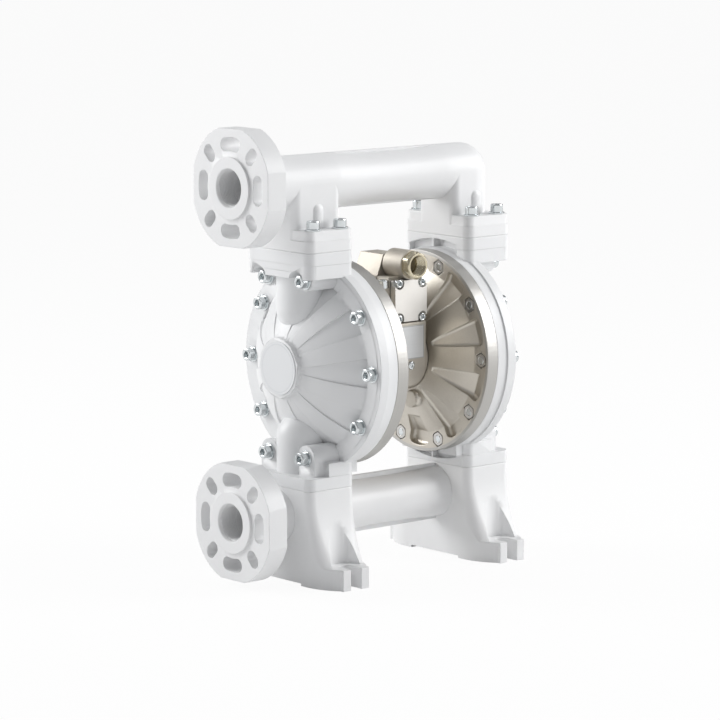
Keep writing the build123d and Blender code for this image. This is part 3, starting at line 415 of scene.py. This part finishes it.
def floorAt(reach):
    startRadius, startFace = pocketShape["floorFrom"]
    return min(startFace + (reach - startRadius) * pocketShape["floorSlope"], pocketShape["floorEnd"])


def pocketWedge(inner):
    # one pocket with rounded outer corners and a rounded floor, whose depth changes where the wall's does
    innerHalf = pocketShape["startHalf"] + (inner - pocketShape["start"]) * pocketShape["flare"]
    half = [(inner, innerHalf), pocketShape["bend"], pocketShape["shoulder"], pocketShape["end"]]
    outline = [(reach, -width) for reach, width in half]
    outline += [(reach, width) for reach, width in reversed(half)]
    part = bmesh.new()
    above = pocketShape["above"]
    rim = [part.verts.new((reach, width, wallAt(reach) - above)) for reach, width in outline]
    halves = ((0, 1, 6, 7), (1, 2, 3, 4, 5, 6))
    mouth = [part.faces.new([rim[index] for index in corners]) for corners in halves]
    made = bmesh.ops.extrude_face_region(part, geom=mouth)["geom"]
    lower = {item for item in made if isinstance(item, bmesh.types.BMVert)}
    for vert in lower:
        vert.co.z = floorAt(vert.co.x)
    bmesh.ops.recalc_face_normals(part, faces=part.faces)
    upright = [edge for vert in rim[2:6] for edge in vert.link_edges if edge.other_vert(vert) in lower]
    bmesh.ops.bevel(
        part, geom=upright, offset=pocketShape["corner"], offset_type="OFFSET", affect="EDGES",
        segments=pocketShape["cornerSteps"], profile=0.5, material=-1
    )
    floors = {face for face in part.faces if face.normal.z > pocketShape["floorFacing"]}
    border = [edge for edge in part.edges if len(floors.intersection(edge.link_faces)) == 1]
    bmesh.ops.bevel(
        part, geom=border, offset=pocketShape["floorRounding"], offset_type="OFFSET", affect="EDGES",
        segments=pocketShape["floorSteps"], profile=0.5, material=-1, clamp_overlap=True
    )
    return part


def pocketCutter():
    bm = bmesh.new()
    step = 2 * math.pi / pocketShape["count"]
    circle = nutRecess["circle"]
    for index in range(pocketShape["count"]):
        besideBoss = index == pocketShape["bossPocket"]
        part = pocketWedge(pocketShape["bossClear" if besideBoss else "start"])
        bmesh.ops.transform(part, matrix=chamberFrame((index + 0.5) * step), verts=part.verts)
        joinInto(bm, part)
        # the recess of the nut beside it, which levelling the wall has closed
        part = bmesh.new()
        corner = nutRecess["flats"] / 2 / math.cos(math.pi / 6)
        bmesh.ops.create_cone(
            part, cap_ends=True, segments=6, radius1=corner, radius2=corner, depth=nutRecess["depth"]
        )
        place = (circle * math.cos(index * step), circle * math.sin(index * step), nutRecess["middle"])
        bmesh.ops.transform(part, matrix=chamberFrame(0) @ Matrix.Translation(place), verts=part.verts)
        joinInto(bm, part)
    return meshFrom(bm, "pocketCutter")


def evenWall():
    bm = bmesh.new()
    outline = [(radius * mm, depth * mm) for radius, depth in chamberWall["ring"]]
    spinProfile(bm, outline, chamberWall["steps"])
    bmesh.ops.transform(bm, matrix=chamberFrame(0), verts=bm.verts)
    return meshFrom(bm, "evenWall")


def mirrorMesh(mesh):
    bm = bmesh.new()
    bm.from_mesh(mesh)
    bmesh.ops.scale(bm, vec=(-1, 1, 1), verts=bm.verts)
    bmesh.ops.reverse_faces(bm, faces=bm.faces)
    bm.to_mesh(mesh)
    bm.free()


def cutPockets(piece, mirrored):
    # a left-hand chamber is turned to the right-hand side for the cuts and back again
    if mirrored:
        mirrorMesh(piece.data)
    combine(piece, evenWall(), "UNION")
    combine(piece, pocketCutter(), "DIFFERENCE")
    mesh = piece.data
    bm = bmesh.new()
    bm.from_mesh(mesh)
    bmesh.ops.remove_doubles(bm, verts=bm.verts, dist=sliverLength)
    bmesh.ops.dissolve_degenerate(bm, edges=bm.edges, dist=sliverLength)
    bm.to_mesh(mesh)
    bm.free()
    if mirrored:
        mirrorMesh(mesh)
    mesh.shade_smooth()
    mesh.set_sharp_from_angle(angle=sharpAngle)
    print("pockets cut:", len(mesh.polygons), "faces")


def smoothMesh(node, name):
    # the node's own surface with its facets joined, so that curved walls shade smoothly
    bm = bmesh.new()
    bm.from_mesh(frame["nodes"][node].data)
    bmesh.ops.remove_doubles(bm, verts=bm.verts, dist=weldDistance)
    mesh = bpy.data.meshes.new(name)
    bm.to_mesh(mesh)
    bm.free()
    mesh.shade_smooth()
    mesh.set_sharp_from_angle(angle=sharpAngle)
    return mesh


def smoothCopy(node, finish, name):
    piece = addPiece(name, smoothMesh(node, name), finish, bodyOf(node), [node], slotOf(node))
    if node.startswith("air_chamber"):
        cutPockets(piece, node.endswith("left"))
    weighted = piece.modifiers.new("evenShading", "WEIGHTED_NORMAL")
    weighted.mode = "FACE_AREA"
    weighted.keep_sharp = True


# Diaphragms: the middle goes with the rod, while the clamped rim stays in the housing

diaphragmSplit = {"middle": 90.9 * mm, "rim": 91 * mm, "length": 240 * mm, "segments": 180}


def splitCylinder(radius):
    bm = bmesh.new()
    bmesh.ops.create_cone(
        bm, cap_ends=True, segments=diaphragmSplit["segments"], radius1=radius, radius2=radius,
        depth=diaphragmSplit["length"]
    )
    bmesh.ops.transform(bm, matrix=chamberFrame(0), verts=bm.verts)
    return meshFrom(bm, "splitCylinder")


def splitDiaphragm(node, name):
    mesh = smoothMesh(node, name + "Middle")
    middle = addPiece(name + "Middle", mesh, diaphragmRubber, bodyOf(node), [node], slotOf(node))
    combine(middle, splitCylinder(diaphragmSplit["middle"]), "INTERSECT")
    mesh = smoothMesh(node, name + "Rim")
    rim = addPiece(name + "Rim", mesh, diaphragmRubber, "housing", slot=slotOf(node))
    combine(rim, splitCylinder(diaphragmSplit["rim"]), "DIFFERENCE")
    print(name, "split")


# Screws, washers, nuts and threads

def solidBoxes(node):
    # lowest and highest corner of each separate solid of a node
    bm = bmesh.new()
    bm.from_mesh(frame["nodes"][node].data)
    bmesh.ops.remove_doubles(bm, verts=bm.verts, dist=weldDistance)
    left = set(bm.verts)
    boxes = []
    while left:
        front = [left.pop()]
        points = []
        while front:
            vert = front.pop()
            points.append(vert.co.copy())
            for link in vert.link_edges:
                other = link.other_vert(vert)
                if other in left:
                    left.remove(other)
                    front.append(other)
        low = Vector([min(p[axis] for p in points) for axis in range(3)])
        high = Vector([max(p[axis] for p in points) for axis in range(3)])
        boxes.append((low, high))
    bm.free()
    return boxes


def roundAt(radius):
    return lambda angle: radius


def hexagonAt(flats):
    # distance to the side of a hexagon, corners at 0, 60, 120 degrees and so on
    return lambda angle: flats / 2 / math.cos(angle % (math.pi / 3) - math.pi / 6)


def knurledAt(radius, depth, step):
    return lambda angle: radius - depth * (round(angle / step) % 2)


def startRing(bm, height, distance, segments):
    verts = bmesh.ops.create_circle(bm, segments=segments, radius=1.0)["verts"]
    bmesh.ops.translate(bm, verts=verts, vec=(0, 0, height))
    spread(verts, distance)
    return loopEdges(verts)


def nextRing(bm, loop, height, distance):
    made = bmesh.ops.extrude_edge_only(bm, edges=loop)["geom"]
    verts = [item for item in made if isinstance(item, bmesh.types.BMVert)]
    for vert in verts:
        vert.co.z = height
    spread(verts, distance)
    return [item for item in made if isinstance(item, bmesh.types.BMEdge)]


def ringStack(bm, rings, segments):
    # a closed skin through (height, distance by angle) rings, from the axis and back to it
    loop = startRing(bm, *rings[0], segments)
    bmesh.ops.contextual_create(bm, geom=loop)
    for height, distance in rings[1:]:
        loop = nextRing(bm, loop, height, distance)
    bmesh.ops.contextual_create(bm, geom=loop)


def ringSleeve(bm, rings, segments):
    # a closed skin through rings whose last one joins the first, such as a nut or a sleeve
    loop = startRing(bm, *rings[0], segments)
    for height, distance in rings[1:] + rings[:1]:
        loop = nextRing(bm, loop, height, distance)
    bmesh.ops.remove_doubles(bm, verts=bm.verts, dist=joinDistance)


def loopEdges(verts):
    chosen = set(verts)
    return [edge for edge in {e for v in verts for e in v.link_edges} if set(edge.verts) <= chosen]


def spread(verts, distance):
    for vert in verts:
        angle = math.atan2(vert.co.y, vert.co.x) % (2 * math.pi)
        reach = distance(angle)
        vert.co.x = reach * math.cos(angle)
        vert.co.y = reach * math.sin(angle)


def turnedTo(direction):
    # +Z of a newly made shape goes to direction
    return Vector(direction).to_track_quat("Z", "Y").to_matrix().to_4x4()


screwDetail = {
    "segments": 72, "knurlDepth": 0.16 * mm, "tipShare": 0.85, "tipLength": 1 * mm, "seatChamfer": 0.4 * mm,
    "knurlEnd": 0.78, "bandStart": 0.82, "crownLow": 0.9 * mm, "crownHigh": 0.25 * mm, "crownIn": 0.45 * mm,
    "faceIn": 1.2 * mm, "mouthShare": 0.66, "mouthDepth": 0.5 * mm, "socketFloor": 0.42, "coneFloor": 0.34,
    "coneShare": 0.2, "darkFrom": 0.3, "darkInside": 0.58,
}


def capScrew(bm, seat, direction, size):
    # socket head cap screw: the head stands on seat, the shank goes the other way
    detail = screwDetail
    keys = ("head", "height", "socket", "shank", "reach")
    head, height, socket, shank, reach = (size[key] for key in keys)
    part = bmesh.new()
    knurl = knurledAt(head, detail["knurlDepth"], 2 * math.pi / detail["segments"])
    ringStack(part, [
        (-reach, roundAt(shank * detail["tipShare"])),
        (-reach + detail["tipLength"], roundAt(shank)),
        (0, roundAt(shank)),
        (0, roundAt(head - detail["seatChamfer"])),
        (detail["seatChamfer"], knurl),
        (height * detail["knurlEnd"], knurl),
        (height * detail["bandStart"], roundAt(head)),
        (height - detail["crownLow"], roundAt(head)),
        (height - detail["crownHigh"], roundAt(head - detail["crownIn"])),
        (height, roundAt(head - detail["faceIn"])),
        (height, roundAt(socket * detail["mouthShare"])),
        (height - detail["mouthDepth"], hexagonAt(socket)),
        (height * detail["socketFloor"], hexagonAt(socket)),
        (height * detail["coneFloor"], roundAt(socket * detail["coneShare"])),
    ], detail["segments"])
    # faces deep in the socket take the painted shade finish, a dark colour standing in for the shade in the
    # recess
    for face in part.faces:
        middle = face.calc_center_median()
        if middle.z > height * detail["darkFrom"] and middle.xy.length < socket * detail["darkInside"]:
            face.material_index = 1
    bmesh.ops.transform(part, matrix=Matrix.Translation(seat) @ turnedTo(direction), verts=part.verts)
    joinInto(bm, part)


def makeScrews(node, name, headSize, axis, outward, finish):
    # new screws in the places of a node's own solids; outward gives the side of the head
    bm = bmesh.new()
    for low, high in solidBoxes(node):
        middle = (low + high) / 2
        sign = outward(middle)
        tip, top = (low[axis], high[axis]) if sign > 0 else (high[axis], low[axis])
        across = [index for index in range(3) if index != axis]
        size = dict(headSize, head=(high[across[0]] - low[across[0]]) / 2)
        seat = middle.copy()
        seat[axis] = top - sign * headSize["height"]
        size["reach"] = abs(seat[axis] - tip)
        direction = Vector((0, 0, 0))
        direction[axis] = sign
        capScrew(bm, seat, direction, size)
    addPiece(name, meshFrom(bm, name), finish, bodyOf(node), [node], slotOf(node), socketDark)
    print(name, "made")


def makeWashers(node, name, axis, bore, finish):
    look = {"topChamfer": 0.5 * mm, "lowChamfer": 0.3 * mm, "steps": 48}
    top, low = look["topChamfer"], look["lowChamfer"]
    bm = bmesh.new()
    for lowest, highest in solidBoxes(node):
        across = [index for index in range(3) if index != axis]
        outer = (highest[across[0]] - lowest[across[0]]) / 2
        thickness = highest[axis] - lowest[axis]
        part = bmesh.new()
        spinProfile(part, [
            (bore, 0), (bore, thickness), (outer - top, thickness), (outer, thickness - top), (outer, low),
            (outer - low, 0),
        ], look["steps"])
        direction = Vector((0, 0, 0))
        direction[axis] = 1
        seat = (lowest + highest) / 2
        seat[axis] = lowest[axis]
        bmesh.ops.transform(part, matrix=Matrix.Translation(seat) @ turnedTo(direction), verts=part.verts)
        joinInto(bm, part)
    addPiece(name, meshFrom(bm, name), finish, bodyOf(node), [node], slotOf(node))
    print(name, "made")


def makeNuts(node, name, finish):
    # the flats and the chamfered corners take the second finish, a painted shade that stands in for the
    # shade in the gap round each nut
    look = {
        "bore": 4.6 * mm, "chamfer": 0.9 * mm, "chamferShare": 1.04, "mouth": 0.6 * mm, "segments": 60,
        "darkFrom": 0.97,
    }
    bore, chamfer, mouth = look["bore"], look["chamfer"], look["mouth"]
    bm = bmesh.new()
    for low, high in solidBoxes(node):
        flats = min(high.y - low.y, high.z - low.z)
        thickness = high.x - low.x
        side = 1 if (low + high).x > 0 else -1
        hexagon = hexagonAt(flats)
        part = bmesh.new()

        def chamfered(angle):
            return min(hexagon(angle), flats / 2 * look["chamferShare"])

        ringSleeve(part, [
            (0, roundAt(bore)), (0, chamfered), (chamfer, hexagon), (thickness - chamfer, hexagon),
            (thickness, chamfered), (thickness, roundAt(bore + mouth)), (thickness - mouth, roundAt(bore)),
        ], look["segments"])
        for face in part.faces:
            if face.calc_center_median().xy.length > flats / 2 * look["darkFrom"]:
                face.material_index = 1
        seat = (low + high) / 2
        seat.x = high.x if side > 0 else low.x
        spinHalf = Matrix.Rotation(math.pi / 6 if high.z - low.z > high.y - low.y else 0, 4, "Z")
        matrix = Matrix.Translation(seat) @ turnedTo((-side, 0, 0)) @ spinHalf
        bmesh.ops.transform(part, matrix=matrix, verts=part.verts)
        joinInto(bm, part)
    addPiece(name, meshFrom(bm, name), finish, bodyOf(node), [node], slotOf(node), socketDark)
    print(name, "made")


def threadRidge(name, start, direction, size, finish):
    # helical ridge on the wall of a bore: a triangle spun round and along the axis
    look = {"inWall": 0.05 * mm, "low": 0.12, "high": 0.88, "stepsPerTurn": 48, "sharp": 50}
    radius, pitch, turns, depth = (size[key] for key in ("radius", "pitch", "turns", "depth"))
    root = radius + look["inWall"]
    corners = [(root, look["low"] * pitch), (root, look["high"] * pitch), (root - depth, 0.5 * pitch)]
    bm = bmesh.new()
    face = bm.faces.new([bm.verts.new((reach, 0, height)) for reach, height in corners])
    steps = int(turns * look["stepsPerTurn"])
    bmesh.ops.spin(
        bm, geom=[face], cent=(0, 0, 0), axis=(0, 0, 1), dvec=(0, 0, pitch * turns / steps),
        angle=2 * math.pi * turns, steps=steps, use_duplicate=False
    )
    matrix = Matrix.Translation(start) @ turnedTo(direction)
    bmesh.ops.transform(bm, matrix=matrix, verts=bm.verts)
    addPiece(name, meshFrom(bm, name, look["sharp"]), finish, "housing")
    print(name, "made")


def makeFitting(node, name, finish):
    # hexagon reducer: neck in the barrel, chamfered hexagon and a stepped bore
    look = {
        "flats": 32 * mm, "neck": 13.9 * mm, "neckLength": 13 * mm, "bore": 12.06 * mm, "inner": 9.06 * mm,
        "boreEnd": -3.4 * mm, "mouth": 0.9 * mm, "length": 12.6 * mm, "place": (0, -59 * mm, 385 * mm),
        "backCut": (0.6 * mm, 0.8 * mm), "cornerCut": 1.5 * mm, "frontCut": (0.3 * mm, 2.6 * mm, 1.4 * mm),
        "crown": (0.6 * mm, 0.3 * mm, 1.0 * mm), "segments": 72, "sharp": 25,
    }
    hexagon = hexagonAt(look["flats"])
    neckEnd, length, boreEnd = -look["neckLength"], look["length"], look["boreEnd"]
    half = look["flats"] / 2
    backReach, backHeight = look["backCut"]
    frontReach, frontStart, frontEnd = look["frontCut"]
    crownReach, crownHeight, crownTop = look["crown"]

    def cutTo(reach):
        return lambda angle: min(hexagon(angle), reach)

    bm = bmesh.new()
    ringSleeve(bm, [
        (neckEnd, roundAt(look["inner"])),
        (neckEnd, roundAt(look["neck"])),
        (0, roundAt(look["neck"])),
        (0, cutTo(half + backReach)),
        (backHeight, cutTo(half + look["cornerCut"])),
        (length - frontStart, cutTo(half + look["cornerCut"])),
        (length - frontEnd, cutTo(half + frontReach)),
        (length - crownHeight, roundAt(half - crownReach)),
        (length, roundAt(half - crownTop)),
        (length, roundAt(look["bore"] + look["mouth"])),
        (length - look["mouth"], roundAt(look["bore"])),
        (boreEnd, roundAt(look["bore"])),
        (boreEnd, roundAt(look["inner"])),
    ], look["segments"])
    flatUp = Matrix.Rotation(math.pi / 6, 4, "Z")
    matrix = Matrix.Translation(look["place"]) @ turnedTo((0, -1, 0)) @ flatUp
    bmesh.ops.transform(bm, matrix=matrix, verts=bm.verts)
    addPiece(name, meshFrom(bm, name, look["sharp"]), finish, bodyOf(node), [node], slotOf(node))
    print(name, "made")


boltBore = 5.5 * mm
coverScrew = {"height": 10 * mm, "socket": 8 * mm, "shank": 4.9 * mm}
smallScrew = {"height": 6 * mm, "socket": 5 * mm, "shank": 2.9 * mm}
flatScrew = {"height": 3 * mm, "socket": 4 * mm, "shank": 2.9 * mm}
uprightScrew = {"height": 11 * mm, "socket": 6 * mm, "shank": 3.9 * mm}
sideways = lambda middle: 1 if middle.x > 0 else -1
upwards = lambda middle: 1
downwards = lambda middle: -1
makeScrews("cover_screws", "coverScrews", coverScrew, 0, sideways, zincBright)
makeScrews("outlet_bolts", "outletBolts", coverScrew, 2, upwards, zincBright)
makeScrews("inlet_bolts", "inletBolts", coverScrew, 2, downwards, zincBright)
makeScrews("plate_screws", "plateScrews", smallScrew, 1, downwards, zincBright)
makeScrews("block_screw", "blockScrew", flatScrew, 1, downwards, zincBright)
makeScrews("shoulder_screw", "shoulderScrew", uprightScrew, 2, upwards, zincBright)
makeWashers("cover_washers", "coverWashers", 0, boltBore, zincBright)
makeWashers("outlet_washers", "outletWashers", 2, boltBore, zincBright)
makeNuts("cover_nuts", "coverNuts", nutSteel)
makeFitting("air_inlet_fitting", "airInletFitting", nickelBrass)

# Surfaces that keep the shape of their node; only the air chambers get new pockets
bigPieces = {
    "fluid_cover_left": coverWhite,
    "fluid_cover_right": coverWhite,
    "outlet_manifold": manifoldWhite,
    "inlet_manifold": manifoldWhite,
    "air_chamber_left": castAluminium,
    "air_chamber_right": castAluminium,
    "centre_body": platedBody,
    "valve_block": platedBody,
    "valve_cover_plate": platedPlate,
    "silencer": porousPlastic,
    "badge_left": badgeFace,
    "badge_right": badgeFace,
    "rating_plate": labelFilm,
}
for node, finish in bigPieces.items():
    words = node.split("_")
    smoothCopy(node, finish, words[0] + "".join(word.capitalize() for word in words[1:]) + "Skin")
print("skins made:", len(bigPieces))

splitDiaphragm("diaphragm_left", "diaphragmLeft")
splitDiaphragm("diaphragm_right", "diaphragmRight")

# Threads in the mouths of the ports and of the air fitting
portThread = {"radius": 22.42 * mm, "pitch": 2.309 * mm, "turns": 9.5, "depth": 1.1 * mm}
portStarts = {
    "outletPortThread": (-239.5 * mm, 0, 491.5 * mm),
    "inletPortThread": (-239.5 * mm, 0, 81.5 * mm),
}
for name, start in portStarts.items():
    threadRidge(name, start, (1, 0, 0), portThread, manifoldWhite)
airThread = {"radius": 12.06 * mm, "pitch": 1.814 * mm, "turns": 8, "depth": 0.8 * mm}
airStart = (0, -71 * mm, 385 * mm)
threadRidge("airInletThread", airStart, (0, 1, 0), airThread, nickelBrass)

# Inner pieces keep their CAD solids and take a finish
innerFinishes = {
    "chamber_gasket": gasketRubber,
    "block_gasket": gasketRubber,
    "plate_gasket": gasketRubber,
    "seat_rings": gasketRubber,
    "rod_seal": gasketRubber,
    "diaphragm_rod": turnedSteel,
    "outer_plate": turnedSteel,
    "rod_nut": turnedSteel,
    "chamber_screws": zincBright,
    "inner_plate": turnedAluminium,
    "valve_sleeve": turnedAluminium,
    "spool_caps": turnedAluminium,
    "inlet_ball": ballWhite,
    "outlet_ball": ballWhite,
    "inlet_seat": ballWhite,
    "outlet_seat": ballWhite,
    "rod_bush": bushBronze,
    "main_spool": spoolPlastic,
    "pilot_spool": spoolPlastic,
}
for node, piece in frame["nodes"].items():
    for start, finish in innerFinishes.items():
        if node == start or node in (start + "_left", start + "_right"):
            piece.data.materials.clear()
            piece.data.materials.append(finish.material)
print("inner finishes given")


# Floor, light and camera

def makeFloor():
    look = {"size": 60.0, "colour": (0.86, 0.86, 0.86), "whiteShare": 0.94}
    bm = bmesh.new()
    bmesh.ops.create_grid(bm, x_segments=1, y_segments=1, size=look["size"] / 2)
    mesh = bpy.data.meshes.new("studioFloor")
    bm.to_mesh(mesh)
    bm.free()
    floor = bpy.data.objects.new("studioFloor", mesh)
    bpy.context.scene.collection.objects.link(floor)
    finish = Finish("floorWhite", look["colour"], 0.9)
    rays = finish.node("ShaderNodeLightPath")
    seen = Wire(finish, rays.socket.node.outputs["Is Camera Ray"])
    mirrored = Wire(finish, rays.socket.node.outputs["Is Glossy Ray"])
    white = finish.node("ShaderNodeEmission", {}, {"Color": (1, 1, 1, 1), "Strength": 1.0})
    either = finish.node("ShaderNodeMath", {"operation": "MAXIMUM"}, {0: seen, 1: mirrored})
    mixed = finish.node("ShaderNodeMixShader", {}, {0: either * look["whiteShare"]})
    finish.links.new(finish.surface.outputs[0], mixed.socket.node.inputs[1])
    finish.links.new(white.socket, mixed.socket.node.inputs[2])
    finish.links.new(mixed.socket, finish.nodes["Material Output"].inputs["Surface"])
    mesh.materials.append(finish.material)


def makeWorld():
    look = {"ambient": 0.39, "sky": (0.97, 0.98, 1.0, 1.0)}
    world = bpy.data.worlds.new("studioWorld")
    bpy.context.scene.world = world
    world.use_nodes = True
    nodes = world.node_tree.nodes
    links = world.node_tree.links
    background = nodes["Background"]
    background.inputs["Color"].default_value = look["sky"]
    background.inputs["Strength"].default_value = look["ambient"]
    rays = nodes.new("ShaderNodeLightPath")
    white = nodes.new("ShaderNodeBackground")
    white.inputs["Strength"].default_value = 1.0
    mixed = nodes.new("ShaderNodeMixShader")
    links.new(rays.outputs["Is Camera Ray"], mixed.inputs[0])
    links.new(background.outputs[0], mixed.inputs[1])
    links.new(white.outputs[0], mixed.inputs[2])
    links.new(mixed.outputs[0], nodes["World Output"].inputs["Surface"])


def makeLamp(name, place, size, power):
    look = {"aim": (0, 0, 0.3)}
    lamp = bpy.data.lights.new(name, "AREA")
    lamp.shape = "RECTANGLE"
    lamp.size, lamp.size_y = size
    lamp.energy = power
    holder = bpy.data.objects.new(name, lamp)
    bpy.context.scene.collection.objects.link(holder)
    direction = Vector(look["aim"]) - Vector(place)
    turn = direction.to_track_quat("-Z", "Y").to_matrix().to_4x4()
    holder.matrix_world = Matrix.Translation(place) @ turn


def makeCamera():
    # pitched camera at the photograph's angle, without shift
    view = {
        "azimuth": 40.604, "elevation": 8.547, "distance": 4.4027, "lens": 175.111, "sensor": 36,
        "across": -25.5 * mm, "height": 259.08 * mm, "clipEnd": 100,
    }
    turn = math.radians(view["azimuth"])
    lift = math.radians(view["elevation"])
    across = Vector((math.cos(turn), -math.sin(turn), 0))
    back = Vector((-math.sin(turn) * math.cos(lift), -math.cos(turn) * math.cos(lift), math.sin(lift)))
    aim = across * view["across"] + Vector((0, 0, view["height"]))
    lens = bpy.data.cameras.new("photoCamera")
    lens.lens = view["lens"]
    lens.sensor_width = view["sensor"]
    lens.sensor_fit = "HORIZONTAL"
    lens.clip_end = view["clipEnd"]
    camera = bpy.data.objects.new("photoCamera", lens)
    bpy.context.scene.collection.objects.link(camera)
    up = across.cross(-back)
    camera.matrix_world = Matrix((
        (across.x, up.x, back.x, 0), (across.y, up.y, back.y, 0), (across.z, up.z, back.z, 0), (0, 0, 0, 1)
    ))
    camera.matrix_world.translation = aim + back * view["distance"]
    bpy.context.scene.camera = camera


makeFloor()
makeWorld()
makeLamp("rightBackLamp", place=(2.17, -1.63, 1.5), size=(1.5, 2.0), power=66)
makeLamp("leftBackLamp", place=(-1.63, 2.17, 1.5), size=(1.5, 2.0), power=58)
makeLamp("topLamp", place=(0.3, 0.5, 3.2), size=(1.2, 1.2), power=8)
makeCamera()
bpy.context.scene.view_settings.view_transform = "Standard"
print("stage, lamps and camera set")
